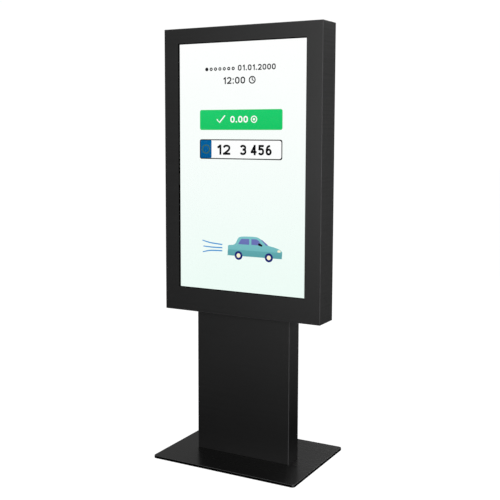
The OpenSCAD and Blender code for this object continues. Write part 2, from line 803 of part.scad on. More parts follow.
// Upper half: screwed on the door's outer face
module door_leaf(axis, face_y) {
    z0 = knuckle_len + 0.4;
    difference() {
        union() {
            translate([axis[0], axis[1], z0]) cylinder(r = knuckle_r, h = knuckle_len);
            block([axis[0] - 0.5, face_y, z0], [axis[0] + 30, face_y + 2, z0 + knuckle_len]);
            block([axis[0] - 0.5, face_y, z0], [axis[0] + 4, axis[1], z0 + knuckle_len]);
        }
        translate([axis[0], axis[1], z0 - 1]) cylinder(r = pin_r + pin_play, h = knuckle_len + 2);
        for (dz = [8, 22]) translate([axis[0] + 22, 0, z0 + dz]) bar_y(2.1, face_y - 1, face_y + 3);
    }
}

module fixed_hinge_leaves() {
    color(zinc) {
        for (z = head_hinge_z) translate([0, 0, z])
            fixed_leaf(head_hinge_axis, -inner_w / 2, rear_y - door_step + 1);
        for (z = pedestal_hinge_z) translate([0, 0, z])
            fixed_leaf(pedestal_hinge_axis, -column_w / 2 + sheet, column_rear - door_step + 1);
    }
}

module hinge_pins() {
    color(zinc) {
        for (z = head_hinge_z) translate([head_hinge_axis[0], head_hinge_axis[1], z])
            cylinder(r = pin_r, h = 2 * knuckle_len);
        for (z = pedestal_hinge_z) translate([pedestal_hinge_axis[0], pedestal_hinge_axis[1], z])
            cylinder(r = pin_r, h = 2 * knuckle_len);
    }
}

// ---- Rear doors ----

door_face = rear_y - 1;
door_z0 = head_z + sheet + door_gap;
door_z1 = top_z - sheet - door_gap;
door_half_w = inner_w / 2 - door_gap;
rim_front = rear_y - door_step + 2;
slot_h = 70;
exhaust_z = fan_z;
intake_z = head_z + 105;
vent_x = 75;

// A flat pan with a folded rim
module door_pan(half_w, z0, z1, face_y, rim_y) {
    difference() {
        block([-half_w, rim_y, z0], [half_w, face_y, z1]);
        block([-half_w + sheet, rim_y - 1, z0 + sheet], [half_w - sheet, face_y - sheet, z1 - sheet]);
    }
}

module rear_door() {
    color(black_paint) difference() {
        door_pan(door_half_w, door_z0, door_z1, door_face, rim_front);
        for (x = [-vent_x, vent_x], z = [exhaust_z, intake_z]) translate([x, 0, z])
            along_y(door_face - 5, door_face + 1) slots(9, 11, 5, slot_h);
        for (z = lock_z) translate([lock_x, 0, z]) bar_y(barrel_r + 0.3, door_face - 5, door_face + 1);
    }
}

module rear_door_gasket() {
    w = 2 * door_half_w;
    h = door_z1 - door_z0;
    color(rubber) ring_plate(w - 12, h - 12, w - 34, h - 34,
                             rear_y - door_step + 0.3, door_face - sheet, (door_z0 + door_z1) / 2);
}

module rear_door_hinge_leaves() {
    color(zinc) for (z = head_hinge_z) translate([0, 0, z]) door_leaf(head_hinge_axis, door_face);
}

// Lock housing with its nut, threaded through a door
module lock_barrel(face_y, inner_y) {
    difference() {
        union() {
            bar_y(12, face_y, face_y + 2.5);
            bar_y(barrel_r, inner_y, face_y);
        }
        bar_y(plug_r + lock_play, inner_y - 1, face_y + 4);
    }
    difference() {
        translate([0, face_y - sheet, 0]) rotate([90, 0, 0]) cylinder(r = 13, h = 4, $fn = 6);
        bar_y(barrel_r, inner_y, face_y);
    }
}

// Turning half of a lock: plug with a key slot, and the cam on its tail, hanging down when unlocked
module lock_core(face_y, inner_y, cam_y0) {
    cam_t = 2.5;
    difference() {
        union() {
            bar_y(plug_r, inner_y - 0.5, face_y + 2.3);
            block([-3.5, cam_y0, -3.5], [3.5, inner_y - 0.5, 3.5]);
            bar_y(5.5, cam_y0 - 3, cam_y0);
        }
        block([-1.2, face_y - 4, -3.6], [1.2, face_y + 3, 3.6]);
    }
    difference() {
        union() {
            bar_y(8, cam_y0, cam_y0 + cam_t);
            block([-8, cam_y0, -34], [8, cam_y0 + cam_t, 0]);
        }
        block([-3.55, cam_y0 - 1, -3.55], [3.55, cam_y0 + cam_t + 1, 3.55]);
    }
}

cam_y = rear_y - door_step - sheet - 4;
pedestal_face = column_rear - 1;
pedestal_cam_y = column_rear - door_step - sheet - 4;

module rear_lock_barrels() {
    color(zinc) for (z = lock_z) translate([lock_x, 0, z]) lock_barrel(door_face, cam_y + 4);
}

module rear_lock(i) {
    color(zinc) translate([lock_x, 0, lock_z[i]]) lock_core(door_face, cam_y + 4, cam_y);
}

// Filter pad behind the lower slots
module intake_filter() {
    color([0.85, 0.85, 0.82]) block([-vent_x - 60, door_face - sheet - 8, intake_z - slot_h / 2 - 8],
                                    [vent_x + 60, door_face - sheet, intake_z + slot_h / 2 + 8]);
}

// Insect mesh behind the upper slots
module exhaust_mesh() {
    bars = 12;
    color(zinc) difference() {
        block([-vent_x - 58, door_face - sheet - 1, exhaust_z - slot_h / 2 - 6],
              [vent_x + 58, door_face - sheet, exhaust_z + slot_h / 2 + 6]);
        for (sx = [-1, 1], i = [0 : bars - 1]) translate([0, 0, exhaust_z + (i - (bars - 1) / 2) * 6])
            side_block(sx, vent_x - 50, vent_x + 50, door_face - sheet - 2, door_face - sheet + 1, 2);
    }
}

module pedestal_door() {
    color(black_paint) difference() {
        door_pan(column_w / 2 - sheet - door_gap, base_t + door_gap, head_z - door_gap,
                 pedestal_face, column_rear - door_step + 2);
        translate([pedestal_lock_x, 0, pedestal_lock_z])
            bar_y(barrel_r + 0.3, pedestal_face - 5, pedestal_face + 1);
    }
}

module pedestal_door_hinge_leaves() {
    color(zinc) for (z = pedestal_hinge_z) translate([0, 0, z])
        door_leaf(pedestal_hinge_axis, pedestal_face);
}

module pedestal_lock_barrel() {
    color(zinc) translate([pedestal_lock_x, 0, pedestal_lock_z])
        lock_barrel(pedestal_face, pedestal_cam_y + 4);
}

module pedestal_lock() {
    color(zinc) translate([pedestal_lock_x, 0, pedestal_lock_z])
        lock_core(pedestal_face, pedestal_cam_y + 4, pedestal_cam_y);
}

// ---- Assembly ----

base_plate();
column_shell();
shell_screws();
column_frame();
masts();
mast_top_plate();
head_bolts();
head_nuts();
head_floor_plate();
head_housing();
head_frame();
window_gasket();
cover_glass();
glass_clamps();
clamp_nuts();
lcd_foam_seal();
lcd_bezel();
lcd_cell();
backlight_diffuser();
lcd_tray();
display_rails();
rail_screws();
equipment_plate();
media_player();
player_button();
power_supply();
driver_board();
thermostat();
thermostat_knob();
fan_bracket();
fan_frame(-1);  // left_fan_frame
fan_frame(1);  // right_fan_frame
fan_rotor(-1);  // left_fan_rotor
fan_rotor(1);  // right_fan_rotor
distribution_plate();
din_rail();
circuit_breaker();
breaker_lever();
surge_protector();
terminal_blocks();
cable_glands();
riser_cable();
display_cable();
supply_cable();
fan_leads();
column_wires();
fixed_hinge_leaves();
hinge_pins();
rear_door();
rear_door_gasket();
rear_door_hinge_leaves();
rear_lock_barrels();
intake_filter();
exhaust_mesh();
rear_lock(1);  // upper_lock
rear_lock(0);  // lower_lock
pedestal_door();
pedestal_door_hinge_leaves();
pedestal_lock_barrel();
pedestal_lock();
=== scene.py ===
import json
import math

import bmesh
import bpy
import numpy as np
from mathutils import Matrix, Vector
from mathutils.geometry import delaunay_2d_cdt

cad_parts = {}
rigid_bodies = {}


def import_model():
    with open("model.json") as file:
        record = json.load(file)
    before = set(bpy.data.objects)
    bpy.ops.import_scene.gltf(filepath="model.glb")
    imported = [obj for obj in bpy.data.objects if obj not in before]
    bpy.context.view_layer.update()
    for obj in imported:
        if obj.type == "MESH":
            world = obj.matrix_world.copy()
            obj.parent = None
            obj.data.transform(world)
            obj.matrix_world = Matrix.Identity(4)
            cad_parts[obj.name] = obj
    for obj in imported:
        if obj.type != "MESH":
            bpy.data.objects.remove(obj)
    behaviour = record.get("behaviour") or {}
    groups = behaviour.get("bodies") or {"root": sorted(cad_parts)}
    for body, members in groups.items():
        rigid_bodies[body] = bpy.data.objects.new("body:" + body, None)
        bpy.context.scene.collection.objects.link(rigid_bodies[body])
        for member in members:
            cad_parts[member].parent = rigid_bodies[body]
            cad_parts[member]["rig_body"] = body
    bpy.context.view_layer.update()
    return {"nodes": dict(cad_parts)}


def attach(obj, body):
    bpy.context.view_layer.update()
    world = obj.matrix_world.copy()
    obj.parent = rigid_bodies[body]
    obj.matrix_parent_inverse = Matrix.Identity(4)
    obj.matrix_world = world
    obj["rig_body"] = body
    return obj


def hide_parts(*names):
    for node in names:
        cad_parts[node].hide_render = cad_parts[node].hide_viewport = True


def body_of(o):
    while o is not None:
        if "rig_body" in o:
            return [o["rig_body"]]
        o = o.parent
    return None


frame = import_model()
scene = bpy.context.scene
mm = 0.001  # shapes below are written in millimetres
cornerAngle = math.radians(35)  # edges turned by more than this stay sharp


# shape helpers: points are rows of arrays, in millimetres

def gridFaces(rows, cols, closeU=True, closeV=False):
    # quad (i, j), (i, j+1), (i+1, j+1), (i+1, j) for every cell; where closed the last joins the first
    i, j = np.meshgrid(np.arange(rows - (not closeV)), np.arange(cols - (not closeU)), indexing="ij")
    i2, j2 = (i + 1) % rows, (j + 1) % cols
    return np.stack([i * cols + j, i * cols + j2, i2 * cols + j2, i2 * cols + j], -1).reshape(-1, 4)


def loft(rings, closeU=True, closeV=False, caps=False):
    # skin over a stack of rings, rings[i, j] being the point at step i along and step j round
    rings = np.asarray(rings, float)
    rows, cols = rings.shape[:2]
    faces = gridFaces(rows, cols, closeU, closeV).tolist()
    if caps:
        faces += [list(range(cols))[::-1], list(range((rows - 1) * cols, rows * cols))]
    return rings.reshape(-1, 3), faces


def fullTurn(steps):
    return np.linspace(0, 2 * math.pi, steps, endpoint=False)


def roundedLoop(x0, x1, z0, z1, radius, steps=4):
    # rectangle outline: each corner is its own centre plus radius times (cos, sin) over a quarter turn
    corner = np.repeat(np.arange(4), steps + 1)
    angle = (corner + np.tile(np.linspace(0, 1, steps + 1), 4)) * math.pi / 2
    cx = np.where((corner == 0) | (corner == 3), x1 - radius, x0 + radius)
    cz = np.where(corner < 2, z1 - radius, z0 + radius)
    return np.stack([cx + radius * np.cos(angle), cz + radius * np.sin(angle)], -1)


def stand(loop, level, axis="y"):
    # a flat loop (u, v) set at one level of the named axis
    w = np.full(len(loop), float(level))
    u, v = loop[:, 0], loop[:, 1]
    order = {"y": (u, w, v), "z": (u, v, w), "x": (w, u, v)}[axis]
    return np.stack(order, -1)


def ringStack(rows, axis="y", steps=4, closeV=False, caps=False):
    # rounded rectangles (u0, u1, v0, v1, radius, level) skinned one after another
    return loft([stand(roundedLoop(*r[:5], steps=steps), r[5], axis) for r in rows],
                closeV=closeV, caps=caps)


def inOutline(points, loop):
    # even-odd rule: count the outline's edges that a line to the right crosses
    a, b = loop, np.roll(loop, -1, 0)
    px, pz = points[:, 0, None], points[:, 1, None]
    spans = (a[:, 1] > pz) != (b[:, 1] > pz)
    rise = np.where(b[:, 1] == a[:, 1], 1e-12, b[:, 1] - a[:, 1])
    crossX = a[:, 0] + (pz - a[:, 1]) / rise * (b[:, 0] - a[:, 0])
    return (spans & (px < crossX)).sum(1) % 2 == 1


def fillFlat(outer, holes, level, axis="y"):
    # triangles between an outline and its holes; a triangle stays if its middle lies in the metal
    loops = [outer] + list(holes)
    starts = np.cumsum([0] + [len(p) for p in loops])[:-1]
    rims = [np.stack([s + np.arange(len(p)), s + (np.arange(len(p)) + 1) % len(p)], -1)
            for s, p in zip(starts, loops)]
    points = [Vector(p) for p in np.concatenate(loops).tolist()]
    found = delaunay_2d_cdt(points, np.concatenate(rims).tolist(), [], 0, 1e-6)
    flat = np.array([tuple(v) for v in found[0]])
    tris = np.array(found[2])
    middle = flat[tris].mean(1)
    keep = inOutline(middle, outer)
    for hole in holes:
        keep &= ~inOutline(middle, hole)
    return stand(flat, level, axis), tris[keep].tolist()


def drilledPlate(rim, holes, axis="y", chamfer=0.3, steps=4, holeSteps=6):
    # the first and last rim rows bound the two flat faces; every hole has its own wall with broken edges
    first, last = rim[0][5], rim[-1][5]
    way = math.copysign(1, last - first)

    def grown(h, c):
        return roundedLoop(h[0] - c, h[1] + c, h[2] - c, h[3] + c, h[4] + c, holeSteps)

    wide = [grown(h, chamfer) for h in holes]
    parts = [ringStack(rim, axis, steps),
             fillFlat(roundedLoop(*rim[0][:5], steps=steps), wide, first, axis),
             fillFlat(roundedLoop(*rim[-1][:5], steps=steps), wide, last, axis)]
    for h in holes:
        walls = [(chamfer, first), (0, first + way * chamfer), (0, last - way * chamfer), (chamfer, last)]
        parts.append(loft([stand(grown(h, c), level, axis) for c, level in walls]))
    return parts


def roundHole(x, z, radius):
    return (x - radius, x + radius, z - radius, z + radius, radius)


def softBlock(lo, hi, edge=0.6, axis="y", corner=None):
    # a block whose level sections shrink by the edge width at both ends: quarter-round edges
    k = "xyz".index(axis)
    u, v = [n for n in range(3) if n != k]
    turn = np.linspace(0, math.pi / 2, 4)
    inset = np.concatenate([edge * (1 - np.sin(turn)), edge * (1 - np.cos(turn))])
    level = np.concatenate([lo[k] + edge * (1 - np.cos(turn)), hi[k] - edge * (1 - np.sin(turn))])
    radius = corner or edge
    return ringStack([(lo[u] + s, hi[u] - s, lo[v] + s, hi[v] - s, max(radius - s, 0.02), w)
                      for s, w in zip(inset, level)], axis, caps=True)


def turned(profile, centre, axis="y", sides=32):
    # profile rows (radius, level) swept round the axis; a radius of nearly nothing closes a pole
    profile = np.asarray(profile, float)
    angle = fullTurn(sides)
    u = profile[:, :1] * np.cos(angle)
    v = profile[:, :1] * np.sin(angle)
    w = np.repeat(profile[:, 1:], sides, 1)
    order = {"x": (w, u, v), "y": (u, w, v), "z": (u, v, w)}[axis]
    return loft(np.stack(order, -1) + np.asarray(centre, float), caps=True)


def smoothRoute(points, steps=8):
    # Catmull-Rom curve: 0.5 (2b + (c-a)t + (2a-5b+4c-d)t^2 + (3b-3c+d-a)t^3) between points b and c
    p = np.asarray(points, float)
    a, b, c, d = np.vstack([p[:1], p[:-2]]), p[:-1], p[1:], np.vstack([p[2:], p[-1:]])
    t = np.linspace(0, 1, steps, endpoint=False)[None, :, None]
    a, b, c, d = (q[:, None] for q in (a, b, c, d))
    curve = 0.5 * (2 * b + (c - a) * t + (2 * a - 5 * b + 4 * c - d) * t**2 + (3 * b - 3 * c + d - a) * t**3)
    return np.vstack([curve.reshape(-1, p.shape[1]), p[-1:]])


def tubeAlong(path, radius, sides=12, away=(0, 1, 0), closed=False):
    # circle radius (cos, sin) carried along the path, square to its heading
    path = np.asarray(path, float)
    if closed:
        heading = np.roll(path, -1, 0) - np.roll(path, 1, 0)
    else:
        heading = np.gradient(path, axis=0)
    heading /= np.linalg.norm(heading, axis=1, keepdims=True)
    u = np.cross(heading, np.asarray(away, float))
    u /= np.linalg.norm(u, axis=1, keepdims=True)
    v = np.cross(heading, u)
    angle = fullTurn(sides)[None, :, None]
    rings = path[:, None] + radius * (np.cos(angle) * u[:, None] + np.sin(angle) * v[:, None])
    return loft(rings, closeV=closed, caps=not closed)


def socketHead(x, y, z, radius, height, axis="y", sides=36):
    # a button head: dome radius r sqrt(1-s^2), then a six-sided socket, radius a / cos(angle to the flat)
    angle = fullTurn(sides)
    fold = np.mod(angle, math.pi / 3) - math.pi / 6
    across = 0.5 * radius * math.cos(math.pi / 6) / np.cos(fold)
    dome = ((1, 0), (1, 0.25), (0.93, 0.6), (0.72, 0.94))
    rows = [(np.full(sides, wide * radius), high) for wide, high in dome]
    rows += [(across * 1.05, 1.0), (across, 0.9), (across * 0.98, 0.35)]
    k = "xyz".index(axis)
    rings = np.zeros((len(rows), sides, 3))
    flat = [np.stack([q * np.cos(angle), q * np.sin(angle)], -1) for q, _ in rows]
    rings[..., [n for n in range(3) if n != k]] = flat
    rings[..., k] = height * np.array([high for _, high in rows])[:, None]
    return loft(rings + np.array([x, y, z], float), caps=True)


def eyelet(x, y, z, r):
    # a flat ring: its square section swept round
    return turned([(r * 0.5, 0), (r, 0), (r, 0.8), (r * 0.5, 0.8), (r * 0.5, 0)], (x, y, z), "y", 20)


def fourSpots(x, z, dx, dz):
    # the four points dx and dz to the sides of a middle
    return [(x + sx * dx, z + sz * dz) for sx in (-1, 1) for sz in (-1, 1)]


def boxRow(x0, x1, z0, z1, inset, radius, level):
    # one rounded rectangle for ringStack, drawn in from a box by the inset
    return (x0 + inset, x1 - inset, z0 + inset, z1 - inset, radius, level)


def bentRows(box, bend, corner, level, way, steps=6):
    # quarter-circle bend: drawn in by bend (1 - sin a), its level moved by bend (1 - cos a)
    return [boxRow(*box, bend * (1 - math.sin(a)), corner, level + way * bend * (1 - math.cos(a)))
            for a in np.linspace(0, math.pi / 2, steps)]


def flatRows(x0, x1, z0, z1, y0, y1, edge, radius):
    # a flat plate's rim: square sides with a small break at both faces
    return [boxRow(x0, x1, z0, z1, s, max(radius - s, 0.3), y)
            for s, y in ((edge, y0), (0, y0 + edge), (0, y1 - edge), (edge, y1))]


def flatRing(outer, inner, y0, y1, edge, corner=1.5):
    # a band between two rectangles, with its four long edges broken
    levels = ((edge, y0), (0, y0 + edge), (0, y1 - edge), (edge, y1))
    rows = [boxRow(*outer, s, corner, y) for s, y in levels]
    rows += [boxRow(*inner, -s, corner, y) for s, y in levels[::-1]]
    return ringStack(rows, closeV=True)


def slab(outline, y0, y1):
    # a flat outline (x, z) given a little depth
    return loft([stand(np.asarray(outline, float), y0), stand(np.asarray(outline, float), y1)], caps=True)


# putting shapes on the object

def settle(mesh):
    # weld the seams and turn every closed shell outwards
    work = bmesh.new()
    work.from_mesh(mesh)
    bmesh.ops.remove_doubles(work, verts=work.verts, dist=1e-6)
    bmesh.ops.dissolve_degenerate(work, dist=1e-7, edges=work.edges)
    bmesh.ops.recalc_face_normals(work, faces=work.faces)
    work.to_mesh(mesh)
    work.free()


def snake(name):
    # cableBlack becomes cable_black
    return "".join("_" + c.lower() if c.isupper() else c for c in name)


def camel(name):
    # cable_black becomes cableBlack
    first, *rest = name.split("_")
    return first + "".join(word.capitalize() for word in rest)


def fit(mesh, name, body, finishName, slotName, stands, bevel=0.0):
    # smooth shading with real corners, its finishes, its broken edges, and its place in the frame
    names = [finishName] if isinstance(finishName, str) else finishName
    mesh.polygons.foreach_set("use_smooth", np.ones(len(mesh.polygons), bool))
    mesh.set_sharp_from_angle(angle=cornerAngle)
    mesh.update()
    piece = bpy.data.objects.new(name, mesh)
    scene.collection.objects.link(piece)
    for f in names:
        mesh.materials.append(finishes[f])
    if bevel:
        cut = piece.modifiers.new("edges", "BEVEL")
        cut.width = bevel * mm
        cut.segments = 2
        cut.limit_method = "ANGLE"
        cut.angle_limit = cornerAngle
    weigh = piece.modifiers.new("normals", "WEIGHTED_NORMAL")
    weigh.keep_sharp = True
    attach(piece, body)
    slotName or slotNames.get(names[0], snake(names[0]))
    if stands:
        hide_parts(*stands)


def addPiece(name, parts, finishName, body="stele", stands=(), slotName=None, finishOf=None):
    # one mesh from several shapes; finishOf gives each shape the number of its finish
    points = np.concatenate([p[0] for p in parts]) * mm
    starts = np.cumsum([0] + [len(p[0]) for p in parts])
    faces = [[s + i for i in f] for s, p in zip(starts, parts) for f in p[1]]
    mesh = bpy.data.meshes.new(name)
    mesh.from_pydata(points.tolist(), [], faces)
    if finishOf is not None:
        which = np.repeat(np.asarray(finishOf), [len(p[1]) for p in parts])
        mesh.polygons.foreach_set("material_index", which.astype(np.int32))
    settle(mesh)
    fit(mesh, name, body, finishName, slotName, stands)


def refine(node, finishName, bevel, name=None, slotName=None, paintRule=None):
    # a welded copy of a CAD node with its flat faces made whole and its edges broken
    mesh = frame["nodes"][node].data.copy()
    mesh.materials.clear()
    work = bmesh.new()
    work.from_mesh(mesh)
    bmesh.ops.remove_doubles(work, verts=work.verts, dist=2e-6)
    bmesh.ops.dissolve_limit(work, angle_limit=math.radians(1), verts=work.verts, edges=work.edges)
    if paintRule:
        for f in work.faces:
            f.material_index = paintRule(f.calc_center_median() / mm)
    work.to_mesh(mesh)
    work.free()
    pieceName = mesh.name = name or camel(node)
    fit(mesh, pieceName, body_of(frame["nodes"][node])[0], finishName, slotName, [node], bevel)


def dress(node, finishName):
    # a CAD node that already has its shape gets a new finish
    slots = frame["nodes"][node].data.materials
    slots.clear()
    slots.append(finishes[finishName])


# finishes

def rgb(r, g, b):
    # a shown colour of 0 to 255 as the light it stands for
    c = np.array([r, g, b]) / 255
    return tuple(np.where(c <= 0.04045, c / 12.92, ((c + 0.055) / 1.055) ** 2.4).tolist())


finishes = {}
# what a finish is unless its own entry says otherwise
baseLook = {
    "mottle": 6.0, "scuff": 30.0, "metallic": 0.0, "grain": "grit", "bump": 0.6, "stretch": (1, 1, 1),
    "wear": None, "coat": 0.0, "sheen": 0.0, "specular": 0.5, "ior": 1.5, "clear": 0.0, "glow": None,
}
# painted highlight on bends: gone at the flat facing, full at the bent one, weakened in patches of this size
# down to the last share
bendHighlightLook = {"flat": 0.99, "bent": 0.80, "patch": 22.0, "thinnest": 0.65}
screenLight = {"strength": 1.02, "cells": 600.0, "between": (0.985, 0.985, 0.985)}


def setInputs(tree, node, inputs):
    # each socket is given its value, or joined to another node's output
    for socket, value in inputs.items():
        if isinstance(value, bpy.types.NodeSocket):
            tree.links.new(value, node.inputs[socket])
        else:
            node.inputs[socket].default_value = value


def addNode(tree, kind, inputs=None, **settings):
    node = tree.nodes.new("ShaderNode" + kind)
    for key, value in settings.items():
        setattr(node, key, value)
    setInputs(tree, node, inputs or {})
    return node


def spread(tree, factor, low, high, a=0.3, b=0.7):
    # the straight line that takes a to low and b to high
    ends = {"Value": factor, "From Min": a, "From Max": b, "To Min": low, "To Max": high}
    return addNode(tree, "MapRange", ends).outputs["Result"]


def blendOf(tree, factor, low, high, a=0.35, b=0.65):
    ramp = addNode(tree, "ValToRGB", {"Fac": factor})
    ends = ramp.color_ramp.elements
    ends[0].position, ends[1].position = a, b
    ends[0].color, ends[1].color = (*low, 1), (*high, 1)
    return ramp.outputs["Color"]


def makeFinish(name, **changes):
    look = {**baseLook, **changes}
    material = bpy.data.materials.new(name)
    material.use_nodes = True
    tree = material.node_tree
    shader = tree.nodes["Principled BSDF"]
    coords = addNode(tree, "TexCoord").outputs
    flat = coords["Object"]
    drawnOut = addNode(tree, "Mapping", {"Scale": look["stretch"], "Vector": flat}).outputs["Vector"]
    grain, size, rough = look["grain"], look["grainSize"], look["rough"]
    tones = look["tones"]

    def noise(scale, detail=4.0, stretched=False):
        where = drawnOut if stretched else flat
        return addNode(tree, "TexNoise", {"Scale": scale, "Detail": detail, "Vector": where}).outputs["Fac"]

    if grain == "spangle":  # zinc crystals: flat cells of slightly different greys
        cells = addNode(tree, "TexVoronoi", {"Scale": size, "Vector": flat}).outputs
        tone = addNode(tree, "SeparateColor", {"Color": cells["Color"]}).outputs
        colour = blendOf(tree, tone["Red"], *tones, 0.0, 1.0)
        height = cells["Distance"]
        roughness = spread(tree, tone["Green"], *rough, 0.0, 1.0)
    elif grain == "tracks":  # copper runs under solder mask: thin square-edged cells
        upright = addNode(tree, "Mapping", {"Rotation": (math.pi / 2, 0, 0), "Vector": flat})
        runs = {"Scale": size, "Mortar Size": 0.06, "Vector": upright.outputs["Vector"]}
        height = addNode(tree, "TexBrick", runs).outputs["Fac"]
        colour = blendOf(tree, height, *tones, 0.2, 0.8)
        roughness = spread(tree, noise(look["scuff"]), *rough)
    elif grain == "fleece":  # matted fibres
        height = addNode(tree, "TexVoronoi", {"Scale": size, "Vector": drawnOut}).outputs["Distance"]
        colour = blendOf(tree, noise(size * 0.7, 6.0, True), *tones)
        roughness = spread(tree, noise(look["scuff"]), *rough)
    else:  # peel, brushed and grit are noise at their own size and stretch
        colour = blendOf(tree, noise(look["mottle"], 5.0, grain == "brushed"), *tones)
        height = noise(size, 2.0 if grain == "peel" else 5.0, grain == "brushed")
        roughness = spread(tree, noise(look["scuff"], 4.0, grain != "grit"), *rough)
    if look["wear"]:  # painted highlight on bends: a paler colour where the surface faces between two of the box's directions
        facing = addNode(tree, "VectorMath", {0: coords["Normal"]}, operation="ABSOLUTE").outputs["Vector"]
        facing = addNode(tree, "SeparateXYZ", {"Vector": facing}).outputs
        most = facing["X"]
        for way in ("Y", "Z"):
            most = addNode(tree, "Math", {0: most, 1: facing[way]}, operation="MAXIMUM").outputs["Value"]
        bend = spread(tree, most, 1.0, 0.0, bendHighlightLook["bent"], bendHighlightLook["flat"])
        patches = spread(tree, noise(bendHighlightLook["patch"], 3.0), bendHighlightLook["thinnest"], 1.0)
        mask = addNode(tree, "Math", {0: bend, 1: patches}, operation="MULTIPLY").outputs["Value"]
        highlighted = {"Factor": mask, 6: colour, 7: (*look["wear"], 1)}
        colour = addNode(tree, "Mix", highlighted, data_type="RGBA").outputs[2]
    bump = addNode(tree, "Bump", {"Strength": look["bump"], "Distance": look["grainDepth"], "Height": height})
    setInputs(tree, shader, {
        "Base Color": colour, "Roughness": roughness, "Normal": bump.outputs["Normal"], "IOR": look["ior"],
        "Metallic": look["metallic"], "Coat Weight": look["coat"], "Sheen Weight": look["sheen"],
        "Specular IOR Level": look["specular"], "Transmission Weight": look["clear"]})
    if look["glow"]:  # screen light: two rows (height in metres, colour), under the grid of the picture cells
        (low, lowColour), (high, highColour) = look["glow"]
        upward = addNode(tree, "SeparateXYZ", {"Vector": flat}).outputs["Z"]
        field = blendOf(tree, spread(tree, upward, 0.0, 1.0, low, high), lowColour, highColour, 0.0, 1.0)
        cells = addNode(tree, "TexWave", {"Scale": screenLight["cells"], "Vector": flat}).outputs["Fac"]
        grid = blendOf(tree, cells, screenLight["between"], (1, 1, 1), 0.0, 1.0)
        both = {"Factor": 1.0, 6: field, 7: grid}
        shown = addNode(tree, "Mix", both, data_type="RGBA", blend_type="MULTIPLY").outputs[2]
        setInputs(tree, shader, {"Emission Color": shown, "Emission Strength": screenLight["strength"]})
    finishes[name] = material


print("finishes")
# in these looks the colour given for the bends is a painted highlight laid on them
paintLooks = {
    # fine-textured black powder coat, laid on in level passes
    "housingPaint": dict(tones=((0.0010, 0.0010, 0.0011), (0.0022, 0.0022, 0.0023)), mottle=5.0,
                         rough=(0.41, 0.49), scuff=6.0, stretch=(0.1, 0.1, 24), grain="peel",
                         grainSize=1400.0, grainDepth=0.000025, wear=(0.13, 0.13, 0.133)),
    # the window's cut edge: painted shade, nearly black and with little reflection so that the recess reads
    # dark
    "windowEdge": dict(tones=((0.001, 0.001, 0.001), (0.002, 0.002, 0.002)), rough=(0.7, 0.8),
                       specular=0.05, grain="peel", grainSize=1400.0, grainDepth=0.00001),
    "doorPaint": dict(tones=((0.0024, 0.0024, 0.0026), (0.0046, 0.0046, 0.0048)), mottle=7.0,
                      rough=(0.42, 0.48), scuff=6.0, stretch=(0.1, 0.1, 24), grain="peel", grainSize=1400.0,
                      grainDepth=0.000025, wear=(0.05, 0.05, 0.052)),
    "platePaint": dict(tones=((0.0005, 0.0005, 0.0005), (0.0011, 0.0011, 0.0011)), mottle=9.0,
                       rough=(0.23, 0.29), scuff=4.0, stretch=(0.2, 12, 1), grain="peel", grainSize=500.0,
                       grainDepth=0.000006, wear=(0.13, 0.13, 0.135)),
    "mastPaint": dict(tones=((0.008, 0.008, 0.009), (0.014, 0.014, 0.015)), rough=(0.45, 0.6),
                      grain="peel", grainSize=700.0, grainDepth=0.00003),
}
metalLooks = {
    "zincSteel": dict(tones=((0.50, 0.51, 0.53), (0.66, 0.66, 0.64)), metallic=1.0, rough=(0.28, 0.42),
                      mottle=40.0, scuff=120.0, grain="grit", grainSize=1500.0, grainDepth=0.00001),
    "galvanised": dict(tones=((0.42, 0.44, 0.46), (0.62, 0.64, 0.66)), metallic=1.0, rough=(0.3, 0.5),
                       grain="spangle", grainSize=85.0, grainDepth=0.00002),
    "psuCase": dict(tones=((0.62, 0.63, 0.64), (0.72, 0.72, 0.73)), metallic=1.0, rough=(0.3, 0.45),
                    mottle=3.0, stretch=(90, 4, 4), grain="brushed", grainSize=60.0, grainDepth=0.00002),
    "buttonSteel": dict(tones=((0.6, 0.6, 0.61), (0.7, 0.7, 0.7)), metallic=1.0, rough=(0.18, 0.28),
                        stretch=(200, 4, 4), grain="brushed", grainSize=30.0, grainDepth=0.00001),
    "hingeSteel": dict(tones=((0.45, 0.46, 0.48), (0.58, 0.58, 0.58)), metallic=1.0, rough=(0.25, 0.4),
                       stretch=(3, 3, 120), grain="brushed", grainSize=40.0, grainDepth=0.00002),
    "lockZinc": dict(tones=((0.55, 0.55, 0.56), (0.68, 0.67, 0.66)), metallic=1.0, rough=(0.2, 0.32),
                     mottle=60.0, grain="grit", grainSize=1200.0, grainDepth=0.00001),
    # the colour given for its bends is a painted highlight
    "blackAnodised": dict(tones=((0.012, 0.012, 0.014), (0.022, 0.022, 0.025)), metallic=0.6,
                          rough=(0.32, 0.45), stretch=(4, 4, 140), grain="brushed", grainSize=30.0,
                          grainDepth=0.00002, wear=(0.09, 0.09, 0.1)),
    "brass": dict(tones=((0.55, 0.38, 0.12), (0.66, 0.47, 0.18)), metallic=1.0, rough=(0.25, 0.4),
                  mottle=80.0, grainSize=1200.0, grainDepth=0.00001),
}
